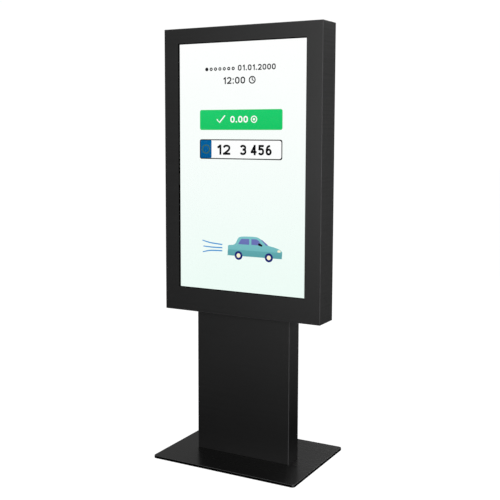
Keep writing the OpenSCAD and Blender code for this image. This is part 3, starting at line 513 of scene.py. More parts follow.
# rubber, film, glass and board, each with its own grain
softLooks = {
    "blackRubber": dict(tones=((0.004, 0.004, 0.004), (0.009, 0.009, 0.009)), rough=(0.7, 0.88),
                        specular=0.2, grainSize=700.0, grainDepth=0.00005),
    "circuitBoard": dict(tones=((0.008, 0.09, 0.035), (0.02, 0.16, 0.06)), rough=(0.28, 0.4),
                         grain="tracks", grainSize=160.0, grainDepth=0.00002, coat=0.4),
    "terminalGreen": dict(tones=((0.06, 0.28, 0.05), (0.5, 0.45, 0.03)), mottle=90.0, rough=(0.4, 0.52),
                          grainSize=1100.0, grainDepth=0.00002),
    "filterFleece": dict(tones=((0.62, 0.62, 0.6), (0.78, 0.78, 0.75)), rough=(0.85, 0.98), sheen=0.3,
                         stretch=(1, 1, 1.6), grain="fleece", grainSize=420.0, grainDepth=0.0004),
    "glassPane": dict(tones=((0.985, 0.995, 0.99), (1.0, 1.0, 1.0)), rough=(0.0, 0.02), clear=1.0, ior=1.14,
                      grainSize=60.0, grainDepth=0.000001, mottle=2.0),
    "blackCeramic": dict(tones=((0.001, 0.001, 0.001), (0.003, 0.003, 0.003)), rough=(0.4, 0.5),
                         specular=0.1, grainSize=1500.0, grainDepth=0.00001),
}
# plastics and leads: colour, second colour, roughness, grain size, grain depth
plainLooks = {
    "displayFrame": ((0.006, 0.006, 0.006), (0.01, 0.01, 0.01), (0.5, 0.65), 1000.0, 0.00002),
    "whiteFilm": ((0.78, 0.79, 0.8), (0.86, 0.86, 0.86), (0.45, 0.6), 600.0, 0.00001),
    "greyPlastic": ((0.56, 0.56, 0.53), (0.62, 0.62, 0.59), (0.38, 0.5), 1100.0, 0.00002),
    "bluePlastic": ((0.015, 0.05, 0.24), (0.025, 0.07, 0.3), (0.35, 0.48), 1100.0, 0.00002),
    "fanPlastic": ((0.01, 0.01, 0.011), (0.018, 0.018, 0.019), (0.4, 0.55), 900.0, 0.00003),
    "rotorPlastic": ((0.012, 0.012, 0.013), (0.02, 0.02, 0.021), (0.32, 0.45), 900.0, 0.00002),
    "redPlastic": ((0.42, 0.03, 0.015), (0.5, 0.05, 0.025), (0.35, 0.48), 1100.0, 0.00002),
    "terminalGrey": ((0.3, 0.31, 0.31), (0.37, 0.38, 0.38), (0.4, 0.52), 1100.0, 0.00002),
    "glandPlastic": ((0.014, 0.014, 0.015), (0.024, 0.024, 0.025), (0.45, 0.6), 1000.0, 0.00003),
    "cableBlack": ((0.01, 0.01, 0.01), (0.018, 0.018, 0.018), (0.45, 0.6), 800.0, 0.00003),
    "cableRed": ((0.3, 0.012, 0.01), (0.38, 0.02, 0.015), (0.4, 0.55), 800.0, 0.00003),
    "cableBlue": ((0.015, 0.05, 0.26), (0.025, 0.07, 0.32), (0.4, 0.55), 800.0, 0.00003),
    "chipBlack": ((0.012, 0.012, 0.012), (0.02, 0.02, 0.02), (0.4, 0.55), 1600.0, 0.00003),
    "whitePlastic": ((0.7, 0.7, 0.68), (0.78, 0.78, 0.76), (0.35, 0.45), 1100.0, 0.00002),
}
for looks in (paintLooks, metalLooks, softLooks):
    for finishName, look in looks.items():
        makeFinish(finishName, **look)
for finishName, (*tones, rough, size, depth) in plainLooks.items():
    makeFinish(finishName, tones=tones, rough=rough, grainSize=size, grainDepth=depth)

# what the screen shows: one glow for the field, one for each ink; each from its low height to its high one
screenInks = {
    "litScreen": ((0.642, rgb(238, 252, 246)), (1.562, rgb(255, 255, 255))),
    "inkDark": ((1.39, rgb(36, 36, 40)), (1.48, rgb(32, 32, 36))),
    "inkGreen": ((1.238, rgb(24, 197, 101)), (1.309, rgb(28, 203, 108))),
    "inkWhite": ((1.13, rgb(253, 254, 254)), (1.31, rgb(255, 255, 255))),
    "inkBlack": ((0.80, rgb(30, 26, 34)), (1.21, rgb(4, 4, 6))),
    "inkBlue": ((1.13, rgb(0, 84, 142)), (1.21, rgb(2, 96, 156))),
    "inkTeal": ((0.79, rgb(112, 182, 186)), (0.85, rgb(126, 196, 200))),
    "inkTealLow": ((0.77, rgb(88, 158, 164)), (0.80, rgb(98, 168, 174))),
    "inkViolet": ((0.80, rgb(98, 108, 172)), (0.85, rgb(112, 120, 184))),
    "inkNavy": ((0.76, rgb(28, 38, 110)), (0.86, rgb(34, 46, 122))),
    "inkCream": ((0.76, rgb(250, 240, 205)), (0.86, rgb(252, 244, 214))),
    "inkOlive": ((1.13, rgb(62, 98, 74)), (1.21, rgb(70, 106, 78))),
    "inkSky": ((0.77, rgb(56, 140, 206)), (0.83, rgb(66, 150, 214))),
}
for finishName, glow in screenInks.items():
    makeFinish(finishName, tones=((0.001, 0.001, 0.001), (0.003, 0.003, 0.003)), rough=(0.5, 0.6),
               specular=0.0, grainSize=1500.0, grainDepth=0.000005, glow=glow)
# slot names for these finishes; for the others fit works a slot name out from the finish's name, but keeps it
# nowhere
slotNames = {**dict.fromkeys(screenInks, "lit_screen"), "doorPaint": "housing_paint",
             "glassPane": "cover_glass", "blackCeramic": "display_frame"}


# base plate and column

print("base plate and column")
basePlate = {"half": (295, 220), "corner": 12, "top": 10, "edge": 1.0, "middle": (0, -21), "entry": 30,
             "anchors": (85, 22, 7), "footHoles": 3}
footSpots = [(sx * 183, y) for sx in (-1, 1) for y in (-35, -5)]


def plateRim(b):
    # quarter-round top edge, small break at the bottom
    turn = np.linspace(0, math.pi / 2, 5)
    inset = np.concatenate([[b["edge"] * 0.4, 0.0], b["edge"] * (1 - np.cos(turn))])
    level = np.concatenate([[0.0, b["edge"] * 0.4], b["top"] - b["edge"] * (1 - np.sin(turn))])
    (w, d), r = b["half"], b["corner"]
    return [boxRow(-w, w, -d, d, s, r - s, z) for s, z in zip(inset, level)]


anchorX, anchorY, anchorRadius = basePlate["anchors"]
plateHoles = [roundHole(x, y, anchorRadius) for x, y in fourSpots(*basePlate["middle"], anchorX, anchorY)]
plateHoles += [roundHole(*basePlate["middle"], basePlate["entry"])]
plateHoles += [roundHole(x, y, basePlate["footHoles"]) for x, y in footSpots]
addPiece("basePlate", drilledPlate(plateRim(basePlate), plateHoles, "z", 0.4, steps=10, holeSteps=8),
         "platePaint", stands=["base_plate"])

columnShell = {"half": 195, "front": -55, "rear": 25, "wall": 2, "bend": 2.6, "lip": 0.35, "low": 10,
               "high": 552, "tab": (173, 193.5, -47, 7, 2), "screw": (5, 4)}


def channelOutline(c):
    # down one leg, round the front and back up the other, outside then inside; bends are quarter circles
    turn = np.linspace(0, math.pi / 2, 6)
    outer, wall, lip, rear = c["bend"], c["wall"], c["lip"], c["rear"]
    cx, cy = c["half"] - outer, c["front"] + outer

    def leg(x, towards, radius):
        bend = np.stack([cx + radius * np.cos(turn), cy - radius * np.sin(turn)], -1)
        return np.vstack([[x + towards * lip, rear], [x, rear - lip], bend])

    right, inRight = leg(c["half"], -1, outer), leg(c["half"] - wall, 1, outer - wall)
    return np.vstack([right, right[::-1] * (-1, 1), inRight * (-1, 1), inRight[::-1]])


outline = channelOutline(columnShell)
columnParts = [loft([stand(outline, z, "z") for z in (columnShell["low"], columnShell["high"])], caps=True)]
tabIn, tabOut, tabFront, tabRear, tabThick = columnShell["tab"]
tabTop = basePlate["top"] + tabThick
for sx in (-1, 1):  # foot tabs folded in from the side walls
    x0, x1 = sorted((sx * tabIn, sx * tabOut))
    columnParts.append(softBlock((x0, tabFront, basePlate["top"]), (x1, tabRear, tabTop), 0.4, "z", 3.0))
addPiece("columnShell", columnParts, "housingPaint", stands=["column_shell"])
addPiece("footScrews", [socketHead(x, y, tabTop, *columnShell["screw"], "z") for x, y in footSpots],
         "zincSteel", stands=["shell_screws"])
refine("column_frame", "housingPaint", 0.4)
refine("masts", "mastPaint", 1.5, name="mastTubes")
refine("mast_top_plate", "mastPaint", 0.8)
refine("head_bolts", "zincSteel", 0.5)
refine("head_nuts", "zincSteel", 0.5)
refine("head_floor_plate", "galvanised", 0.5)

# fillet weld round each mast's foot: a bead whose width swells and sinks along the seam
weld = {"mast": (140, -31), "path": (30.6, 20.6, 2.0), "leg": 4.0, "ripple": 0.35, "pitch": 3.2,
        "level": 10.9}


def weldBead(w, side):
    # ring radius leg / 2 + ripple sin(2 pi run / pitch), square to the seam, flattened on the plate
    (x, y), (halfX, halfY, corner) = w["mast"], w["path"]
    x *= side
    walk = roundedLoop(x - halfX, x + halfX, y - halfY, y + halfY, corner, 6)
    walk = smoothRoute(np.vstack([walk, walk[:1]]), 6)[:-1]
    along = np.cumsum(np.linalg.norm(np.roll(walk, -1, 0) - walk, axis=1))
    swell = (w["leg"] * 0.5 + w["ripple"] * np.sin(2 * math.pi * along / w["pitch"]))[:, None]
    turn = fullTurn(8)
    out = walk - np.array([x, y])
    out /= np.linalg.norm(out, axis=1, keepdims=True)
    ring = np.stack([walk[:, :1] + out[:, :1] * swell * np.cos(turn),
                     walk[:, 1:] + out[:, 1:] * swell * np.cos(turn),
                     np.maximum(w["level"] + swell * 0.9 * np.sin(turn), basePlate["top"] + 0.02)], -1)
    return loft(ring, closeV=True)


addPiece("mastWelds", [weldBead(weld, side) for side in (-1, 1)], "mastPaint")


# head

print("head")
headShell = {"half": 325, "low": 552, "high": 1617, "front": -79, "rear": 31, "wall": 2, "bend": 2.2,
             "corner": 1.4, "window": (-263, 263, 642, 1562)}


def shellRings(h):
    # from the window's edge out over the front, round the bend, back along the sides, in, and home inside
    f, r, t, b, c = (h[k] for k in ("front", "rear", "wall", "bend", "corner"))
    edge = (-h["half"], h["half"], h["low"], h["high"])
    window = ((0.3, f + t), (0, f + t - 0.3), (0, f + 0.4), (0.12, f + 0.12), (0.4, f))
    rows = [boxRow(*h["window"], -grow, 0.8 + grow, y) for grow, y in window]
    rows += bentRows(edge, b, c + 0.2, f, 1)
    rest = ((0, c, r - 0.4), (0.4, c, r), (t - 0.4, c * 0.6, r), (t, 0.4, r - 0.4), (t, 0.4, f + t + 0.4),
            (t + 0.4, 0.4, f + t))
    return rows + [boxRow(*edge, *row) for row in rest]


shell = shellRings(headShell)
# the rings round the window take the painted-shade finish of the cut edge
addPiece("headShell", [ringStack(shell[4:]), ringStack(shell[-1:] + shell[:5])],
         ["housingPaint", "windowEdge"], stands=["head_housing"], finishOf=[0, 1])
refine("head_frame", "housingPaint", 0.5)


# bands in the window: (outer rectangle, inner rectangle, front, back, broken edge)
windowBands = {
    "gasket": ((-277, 277, 627, 1577), (-264.6, 264.6, 640.4, 1563.6), -77, -75, 0.5),
    "foam": ((-273.7, 273.7, 625.4, 1578.6), (-266.7, 266.7, 629.4, 1574.6), -70, -68, 0.6),
    "border": ((-279.5, 279.5, 625.5, 1578.5), (-261.4, 261.4, 643.6, 1559.0), -70.06, -69.96, 0.03),
}
addPiece("windowGasket", [flatRing(*windowBands["gasket"])], "blackRubber", stands=["window_gasket"])
addPiece("screenFoam", [flatRing(*windowBands["foam"])], "blackRubber", stands=["lcd_foam_seal"])
refine("cover_glass", "glassPane", 0.6)
# black ceramic border fired on the back of the glass
addPiece("glassBorder", [flatRing(*windowBands["border"])], "blackCeramic")
refine("lcd_bezel", "displayFrame", 0.4, name="screenBezel")
dress("lcd_cell", "litScreen")
dress("backlight_diffuser", "whiteFilm")
refine("glass_clamps", "zincSteel", 0.3)
refine("clamp_nuts", "zincSteel", 0.3)


# what the screen shows

print("screen picture")
picture = {"y": -67.4, "depth": 0.12, "date": "01.01.2000", "time": "12:00", "amount": "0.00",
           "plate": ("12", "3", "456"), "gap": 0.17}
# how wide each mark is beside a full digit
markWidths = {"1": 0.66, ".": 0.34, ":": 0.34}
# the middle line of each digit on a unit square: (smoothing, square ends, points)
digitRoutes = {
    "1": [(1, True, [(0.95, 1), (0.95, 0)]), (1, False, [(0, 0.74), (0.5, 0.88), (0.95, 1.03)])],
    "2": [(8, False, [(0, 0.76), (0.12, 0.93), (0.5, 1), (0.88, 0.92), (1, 0.72), (0.84, 0.47), (0.42, 0.2),
                      (0.04, 0)]),
          (1, True, [(0, 0), (1, 0)])],
    "3": [(8, False, [(0, 0.83), (0.17, 0.96), (0.5, 1), (0.85, 0.93), (0.96, 0.76), (0.84, 0.59),
                      (0.4, 0.54)]),
          (8, False, [(0.4, 0.54), (0.88, 0.48), (1, 0.27), (0.86, 0.07), (0.5, 0), (0.15, 0.04),
                      (0, 0.18)])],
    "4": [(1, False, [(0.78, 1.02), (0, 0.26)]), (1, True, [(0, 0.25), (1, 0.25)]),
          (1, True, [(0.76, 1), (0.76, 0)])],
    "5": [(1, True, [(0.1, 1), (0.93, 1)]), (1, False, [(0.1, 1), (0.05, 0.48)]),
          (8, False, [(0.05, 0.5), (0.26, 0.62), (0.54, 0.64), (0.9, 0.53), (1, 0.31), (0.88, 0.08), (0.5, 0),
                      (0.14, 0.04), (0, 0.17)])],
    "6": [(8, False, [(0, 0.32), (0.03, 0.56), (0.17, 0.8), (0.42, 0.95), (0.86, 1)])],
}
# digits with a closed loop: how much of the height the loop takes
digitLoops = {"0": 1.0, "6": 0.66}


def chip(x0, x1, z0, z1, radius, lift=0.0):
    y = picture["y"] - lift
    return ringStack([(x0, x1, z0, z1, radius, y), (x0, x1, z0, z1, radius, y - picture["depth"])],
                     steps=8, caps=True)


def ribbon(path, half, lift=0.0):
    # a flat band: the path plus and minus half its width, square to its heading
    heading = np.gradient(path, axis=0)
    heading /= np.linalg.norm(heading, axis=1, keepdims=True)
    side = np.stack([-heading[:, 1], heading[:, 0]], -1) * half
    y = picture["y"] - lift
    return slab(np.vstack([path + side, (path - side)[::-1]]), y - picture["depth"], y)


def stroke(points, widths, lift=0.0, steps=10):
    path = smoothRoute(points, steps)
    half = np.interp(np.linspace(0, 1, len(path)), np.linspace(0, 1, len(widths)), widths)[:, None] / 2
    return ribbon(path, half, lift)


def ovalRing(x0, x1, z0, z1, pen, lift=0.0):
    # a loop of even width with half-round ends
    y = picture["y"] - lift
    outer = roundedLoop(x0, x1, z0, z1, (x1 - x0) / 2, 8)
    inner = roundedLoop(x0 + pen, x1 - pen, z0 + pen, z1 - pen, (x1 - x0) / 2 - pen, 8)
    rows = [(outer, y), (outer, y - picture["depth"]), (inner, y - picture["depth"]), (inner, y)]
    return loft([stand(p, level) for p, level in rows], closeV=True)


def annulus(x, z, outer, inner, lift=0.0):
    return ovalRing(x - outer, x + outer, z - outer, z + outer, outer - inner, lift)


def disc(x, z, radius, lift=0.0):
    return chip(x - radius, x + radius, z - radius, z + radius, radius, lift)


def figures(words, left, right, base, height, pen, lift=0.0):
    # digits drawn along their middle lines with an even pen, widened so that the row fills its space
    gap = picture["gap"] * height
    shares = [markWidths.get(mark, 1.0) for mark in words]
    unit = (right - left - gap * (len(words) - 1)) / sum(shares)
    parts, x = [], left
    for mark, share in zip(words, shares):
        wide = unit * share
        if mark in digitLoops:
            parts.append(ovalRing(x, x + wide, base, base + height * digitLoops[mark], pen, lift))
        for steps, squareEnds, points in digitRoutes.get(mark, []):
            middle = np.array(points) * [wide - pen, height - pen] + [x + pen / 2, base + pen / 2]
            route = smoothRoute(middle, steps)
            if squareEnds:
                ahead = (route[-1] - route[0]) / np.linalg.norm(route[-1] - route[0]) * pen / 2
                route[0] -= ahead
                route[-1] += ahead
            parts.append(ribbon(route, pen / 2, lift + 0.01 * len(parts) % 0.03))
        if mark in ".:":
            rises = [0.5] if mark == "." else [0.5, height / pen * 0.66]
            parts += [disc(x + wide / 2, base + pen * (rise + 0.1), pen * 0.6, lift) for rise in rises]
        x += wide + gap
    return parts


# rows of figures are (left, right, base, height, pen)
dateRow = {"dots": (-145, 1464, 18.6), "full": 6.8, "ring": (6.4, 2.4),
           "figures": (-14, 139, 1455.2, 21, 4.2)}
timeRow = {"clock": (45, 1421, 14.0, 9.8), "hands": ([(45, 1420), (45, 1430)], [(44, 1421.5), (52, 1417.5)]),
           "pen": 3.6, "figures": (-76, 16, 1408.6, 25, 4.8)}
paidRow = {"field": (-175, 167.5, 1241.5, 1315.5, 7.5), "pen": [4.6, 4.8, 4.6], "coin": (53, 1280),
           "tick": [(-102, 1280.5), (-91, 1269), (-67.5, 1294.5)], "coinRadii": (13, 9.4, 4.6),
           "figures": (-45, 28, 1268.2, 24, 5.0)}
plateSign = {"outer": (-176, 167.5, 1134, 1207), "inner": (-172.2, 163.7, 1137.8, 1203.2),
             "field": (-174, 165.5, 1136, 1205, 6.5), "stripe": (-172.4, -125, 1137.6, 1203.4, 4.0),
             "ring": (-149, 1170.5, 17, 13.6), "groups": ((-103, -45), (-5, 22), (40, 125)),
             "figures": (1150.2, 37.5, 7.8)}
py = picture["y"]

# seven week-day dots with the date, and the time with a clock sign
dotX, dotZ, dotStep = dateRow["dots"]
weekDots = [disc(dotX, dotZ, dateRow["full"])]
weekDots += [annulus(dotX + dotStep * i, dotZ, *dateRow["ring"]) for i in range(1, 7)]
clock = [annulus(*timeRow["clock"])]
clock += [stroke(hand, [timeRow["pen"]] * 2, lift, 2) for hand, lift in zip(timeRow["hands"], (0.13, 0.15))]
addPiece("dateAndTime", weekDots + clock + figures(picture["date"], *dateRow["figures"])
         + figures(picture["time"], *timeRow["figures"]), "inkDark")
addPiece("paidField", [chip(*paidRow["field"])], "inkGreen")
coinOuter, coinInner, coinMiddle = paidRow["coinRadii"]
addPiece("paidMark", [stroke(paidRow["tick"], paidRow["pen"], 0.2, 1)]
         + figures(picture["amount"], *paidRow["figures"], 0.2)
         + [annulus(*paidRow["coin"], coinOuter, coinInner, 0.2), disc(*paidRow["coin"], coinMiddle, 0.2)],
         "inkWhite")
addPiece("plateEdge", [flatRing(plateSign["outer"], plateSign["inner"], py - 0.16, py, 0.02, 7.5)],
         "inkBlack")
addPiece("plateField", [chip(*plateSign["field"])], "inkWhite")
addPiece("plateStripe", [chip(*plateSign["stripe"], 0.14)], "inkBlue")
addPiece("stripeRing", [annulus(*plateSign["ring"], 0.28)], "inkOlive")
addPiece("plateDigits", [part for words, ends in zip(picture["plate"], plateSign["groups"])
                         for part in figures(words, *ends, *plateSign["figures"], 0.2)], "inkBlack")

# a plain saloon seen from its side
car = {
    "upper": [(-54.5, 799), (-54.5, 811), (-50, 815.5), (-31, 818), (-21, 826), (-13, 841), (-2, 849),
              (32, 852), (64, 851.5), (80, 846), (96, 835), (113, 823.5), (138, 818), (160, 811), (169, 803),
              (169.5, 797)],
    "sill": [(169.5, 797), (168, 780), (162, 777.5), (60, 777.5), (-49, 777), (-55.5, 780), (-55.5, 793),
             (-54.5, 799)],
    "waist": [(-54, 799.5), (60, 800), (168, 800)],
    "panes": ([(-11, 821.5), (-1, 838.5), (4, 842), (35, 843), (35, 821.5)],
              [(44, 822), (44, 843.5), (66, 843.5), (76, 837), (86, 822)],
              [(82.5, 843), (90, 841.5), (112.5, 824.5), (105.5, 822)]),
    "mirror": [(72, 825.5), (80, 824), (89, 820.5)], "mirrorPen": [7, 9.5, 6],
    "wheels": ((-9.5, 779), (116, 779)), "tyre": 16.5, "hub": 8.2, "lamp": (150.5, 163.5, 801, 809, 3.8),
    "speed": ([(-165.5, 827), (-130, 819.5), (-79, 815.5)], [(-161.5, 804.7), (-122, 803), (-79, 803.5)],
              [(-164, 782.5), (-130, 790), (-79, 792)]), "speedPen": [3.6, 4.6, 4.4],
}
roof, sill = smoothRoute(car["upper"], 6), smoothRoute(car["sill"], 6)
addPiece("carUpper", [slab(np.vstack([roof, sill[1:-1]]), py - 0.12, py)], "inkTeal")
addPiece("carSill", [slab(np.vstack([sill[:-1], car["waist"]]), py - 0.26, py - 0.14)], "inkTealLow")
addPiece("carGlass", [slab(pane, py - 0.26, py - 0.14) for pane in car["panes"]], "inkViolet")
addPiece("carMirror", [stroke(car["mirror"], car["mirrorPen"], 0.3, 4)], "inkBlack")
addPiece("carWheels", [disc(*spot, car["tyre"], 0.3) for spot in car["wheels"]], "inkNavy")
addPiece("carHubs", [disc(*spot, car["hub"], 0.45) for spot in car["wheels"]] + [chip(*car["lamp"], 0.3)],
         "inkCream")
addPiece("speedStrokes", [stroke(line, car["speedPen"]) for line in car["speed"]], "inkSky")


# rear doors

print("doors")
doorPan = {"bend": 2.2, "wall": 2.0, "lip": 0.35}
rearDoor = {"box": (-320, 320, 557, 1612), "faces": (30, 20), "lockX": 275, "locks": (772, 1397),
            "vents": (-75, 75), "exhaust": 1467, "intake": 657, "hinges": (662, 1084.5, 1447),
            "pin": (-319.5, 37), "screw": (-297.5, 32)}
lowDoor = {"box": (-190, 190, 13, 549), "faces": (24, 14), "lockX": 151, "locks": (300,), "hinges": (90, 420),
           "pin": (-189.5, 31), "screw": (-167.5, 26)}
slotRow = {"count": 9, "pitch": 11, "wide": 5, "tall": 70}
lockRadius = 9.3


def panRows(box, face, rim, d):
    # outer face, quarter-circle bend, rim, its rounded lip, back up inside to the inner face
    b, w, lip = d["bend"], d["wall"], d["lip"]
    inside = ((0, 1.4, rim + lip), (lip, 1.2, rim), (w - lip, 0.9, rim), (w, 0.6, rim + lip),
              (w, 0.6, face - w - 0.4), (w + 0.4, 0.4, face - w))
    return bentRows(box, b, 1.6, face, -1) + [boxRow(*box, *row) for row in inside]


def slotHoles(x, z, s):
    # a row of upright slots with round ends
    step = (np.arange(s["count"]) - (s["count"] - 1) / 2) * s["pitch"] + x
    return [(c - s["wide"] / 2, c + s["wide"] / 2, z - s["tall"] / 2, z + s["tall"] / 2, s["wide"] / 2 - 0.02)
            for c in step.tolist()]


def doorPlate(door, holes=()):
    locks = [roundHole(door["lockX"], z, lockRadius) for z in door["locks"]]
    return drilledPlate(panRows(door["box"], *door["faces"], doorPan), list(holes) + locks, "y", 0.4)


ventHoles = [h for x in rearDoor["vents"] for z in (rearDoor["exhaust"], rearDoor["intake"])
             for h in slotHoles(x, z, slotRow)]
addPiece("rearDoor", doorPlate(rearDoor, ventHoles), "doorPaint", "rear_door", ["rear_door"])
addPiece("pedestalDoor", doorPlate(lowDoor), "doorPaint", "pedestal_door", ["pedestal_door"])

# foamed-in-place door seal: a band with a soft round crown towards the frame
sealRows = {"outer": (-314, 314, 563, 1606), "wide": 11, "crown": 3.2, "front": 18.3, "rear": 28}


def sealBand(s):
    # half ellipse across the band's width, carried round the door
    wide, box = s["wide"], s["outer"]
    stack = [boxRow(*box, 0, 6, s["rear"])]
    for a in np.linspace(0, math.pi, 9):
        across = wide * 0.5 * (1 - math.cos(a))
        stack.append(boxRow(*box, across, max(6 - across, 0.5), s["front"] + s["crown"] * (1 - math.sin(a))))
    stack.append(boxRow(*box, wide, 0.5, s["rear"]))
    return ringStack(stack, steps=6, closeV=True)


addPiece("rearDoorSeal", [sealBand(sealRows)], "blackRubber", "rear_door", ["rear_door_gasket"])

# filter pad with a quilted, slightly swollen face: crown (sin sin)^0.35 and dimples cos cos
pad = {"half": 135, "low": 614, "high": 700, "front": 20.0, "rear": 27.9, "swell": 1.6, "dimples": (9, 3),
       "dimple": 0.25}
u, v = np.meshgrid(np.linspace(0, 1, 61), np.linspace(0, 1, 25), indexing="ij")
crown = (np.sin(math.pi * u) * np.sin(math.pi * v)) ** 0.35
across, up = pad["dimples"]
dimple = pad["dimple"] * np.cos(u * 2 * math.pi * across) * np.cos(v * 2 * math.pi * up)
face = np.stack([-pad["half"] + 2 * pad["half"] * u,
                 pad["front"] + pad["swell"] * (1 - crown) + 0.3 + dimple * crown,
                 pad["low"] + (pad["high"] - pad["low"]) * v], -1)
back = face.copy()
back[..., 1] = pad["rear"]
rimWalk = [np.s_[:, 0], np.s_[-1, :], np.s_[::-1, -1], np.s_[0, ::-1]]
edges = [np.vstack([side[w][:-1] for w in rimWalk]) for side in (face, back)]
addPiece("intakeFilterPad", [loft(face, closeU=False), loft(back, closeU=False), loft(edges)],
         "filterFleece", "rear_door", ["intake_filter"])
# wire clips that hold the pad: (y, z) along each bow
clip = {"places": (-90, 0, 90), "wire": 0.6,
        "bow": ((27.4, 607), (24, 610), (19.3, 616), (18.9, 657), (19.3, 698), (24, 704), (27.4, 707))}
clipParts = [tubeAlong(smoothRoute([(x, y, z) for y, z in clip["bow"]], 5), clip["wire"], 8, away=(1, 0, 0))
             for x in clip["places"]]
addPiece("filterClips", clipParts, "zincSteel", "rear_door")

# woven insect mesh in a folded frame: each wire is lifted by wave / 2 * (-1)^(wire + crossing)
meshLook = {"halfW": 132, "halfH": 40, "z": rearDoor["exhaust"], "y": 27.45, "pitch": 3.0, "wire": 0.28,
            "wave": 0.22, "frame": ((-133, 133, 1426, 1508), (-128, 128, 1431, 1503), 27, 28, 0.2)}


def meshWires(m):
    def places(half):
        count = int(half * 2 / m["pitch"]) - 1
        return (np.arange(count) - (count - 1) / 2) * m["pitch"]

    parts, across, up = [], places(m["halfW"]), places(m["halfH"]) + m["z"]
    for first, own, other in ((0, across, up), (1, up, across)):
        run = np.linspace(other[0] - 2, other[-1] + 2, len(other) + 1)
        for i, place in enumerate(own.tolist(), first):
            y = m["y"] + m["wave"] * (-1.0) ** (i + np.arange(len(run))) * 0.5
            x, z = (run, np.full(len(run), place))[::1 if first else -1]
            parts.append(tubeAlong(np.stack([x, y, z], -1), m["wire"], 3))
    return parts


addPiece("exhaustScreen", meshWires(meshLook) + [flatRing(*meshLook["frame"])], "galvanised", "rear_door",
         ["exhaust_mesh"])

for nodeName in ("fixed_hinge_leaves", "rear_door_hinge_leaves", "pedestal_door_hinge_leaves"):
    refine(nodeName, "hingeSteel", 0.35)
hinge = {"pin": [(0.01, 0), (1.9, 0), (2.5, 0.8), (2.5, 59.2), (1.9, 60), (0.01, 60)], "screws": (38.4, 52.4),
         "screw": (3.6, 2.0)}
addPiece("hingePins", [turned(hinge["pin"], (*door["pin"], z), "z", 20) for door in (rearDoor, lowDoor)
                       for z in door["hinges"]], "zincSteel", stands=["hinge_pins"])
for pieceName, bodyName, door in (("rearHingeScrews", "rear_door", rearDoor),
                                  ("pedestalHingeScrews", "pedestal_door", lowDoor)):
    addPiece(pieceName, [socketHead(*door["screw"], z + up, *hinge["screw"]) for z in door["hinges"]
                         for up in hinge["screws"]], "zincSteel", bodyName)
for nodeName, bevel in (("rear_lock_barrels", 0.4), ("pedestal_lock_barrel", 0.4), ("upper_lock", 0.3),
                        ("lower_lock", 0.3), ("pedestal_lock", 0.3)):
    refine(nodeName, "lockZinc", bevel)


# screen supports

print("behind the screen")
tray = {"box": (-273.5, 273.5, 622.5, 1581.5), "rim": -61, "rear": -42, "wall": 1.5, "bend": 3, "hole": 2.6}
rail = {"x": 200, "fixings": (662, 1102, 1542), "plateFixings": (780, 1310), "screw": (4.5, 3)}


def trayRows(t):
    # the rear face's bend, the side, the rim, then the same inside
    y0, y1, w, b = (t[k] for k in ("rim", "rear", "wall", "bend"))
    inside = ((0, 4, y0), (w, 2.5, y0), (w, 2.5, y1 - w - 1), (w + 1, 2, y1 - w))
    return bentRows(t["box"], b, 4, y1, -1, 5) + [boxRow(*t["box"], *row) for row in inside]


trayHoles = [roundHole(sx * rail["x"], z, tray["hole"]) for sx in (-1, 1) for z in rail["fixings"]]
addPiece("screenTray", drilledPlate(trayRows(tray), trayHoles, "y", 0.2), "galvanised", stands=["lcd_tray"])
refine("display_rails", "galvanised", 1.2)
addPiece("railScrews", [socketHead(sx * rail["x"], y, z, *rail["screw"])
                        for y, heights in ((-22, rail["fixings"]), (-20, rail["plateFixings"]))
                        for sx in (-1, 1) for z in heights], "zincSteel", stands=["rail_screws"])

# equipment plate: rows of holes and two slots that the leads pass
equipment = {"plate": (-230, 230, 760, 1330, -22, -20, 0.5, 6), "railHole": 6, "slot": (8, 1010, 1080, 7.9),
             "slots": (-60, 60), "corners": ((-215, -120, 80, 215), (770, 1320), 1.8)}
slotHalf, slotLow, slotHigh, slotRound = equipment["slot"]
cornerX, cornerZ, cornerRadius = equipment["corners"]
plateHoles = [roundHole(sx * rail["x"], rail["fixings"][1], equipment["railHole"]) for sx in (-1, 1)]
plateHoles += [(x - slotHalf, x + slotHalf, slotLow, slotHigh, slotRound) for x in equipment["slots"]]
plateHoles += [roundHole(x, z, cornerRadius) for x in cornerX for z in cornerZ]
addPiece("equipmentPlate", drilledPlate(flatRows(*equipment["plate"]), plateHoles, "y", 0.2), "galvanised",
         stands=["equipment_plate"])

# player, power supply, controller board

player = {"sockets": (-172, 34, 20, 4), "screws": ((-176, -12), (1126, 1224)), "screwHead": (2.6, 1.4),
          "button": (-16, 0, 1106), "psuBlocks": (812, 16, 13, 6)}
refine("media_player", "blackAnodised", 0.5)
x, step, wide, count = player["sockets"]
addPiece("playerSockets", [softBlock((x + i * step, -13.6, 1090.2), (x + wide + i * step, -2.4, 1096), 0.4)
                           for i in range(count)], "chipBlack", slotName="black_anodised")
screwX, screwZ = player["screws"]
addPiece("playerScrews", [socketHead(x, 6, z, *player["screwHead"]) for x in screwX for z in screwZ],
         "zincSteel")
buttonProfile = [(0.01, 10.5), (3.6, 10.5), (4, 10.9), (4, 14.8), (3.6, 15.3), (3.0, 15.5), (2.4, 15.35),
                 (0.01, 15.2)]
addPiece("playerButton", [turned(buttonProfile, player["button"])], "buttonSteel", "player_button",
         ["player_button"])
refine("power_supply", "psuCase", 0.4)
psuBits = []
low, step, high, count = player["psuBlocks"]
for z in range(low, low + step * count, step):
    psuBits += [softBlock((-11, -8, z), (8, 2, z + high), 0.5), socketHead(-1, 2, z + high / 2, 3.2, 1.6)]
addPiece("psuTerminals", psuBits, ["chipBlack", "brass"], slotName="psu_case", finishOf=[0, 1] * count)

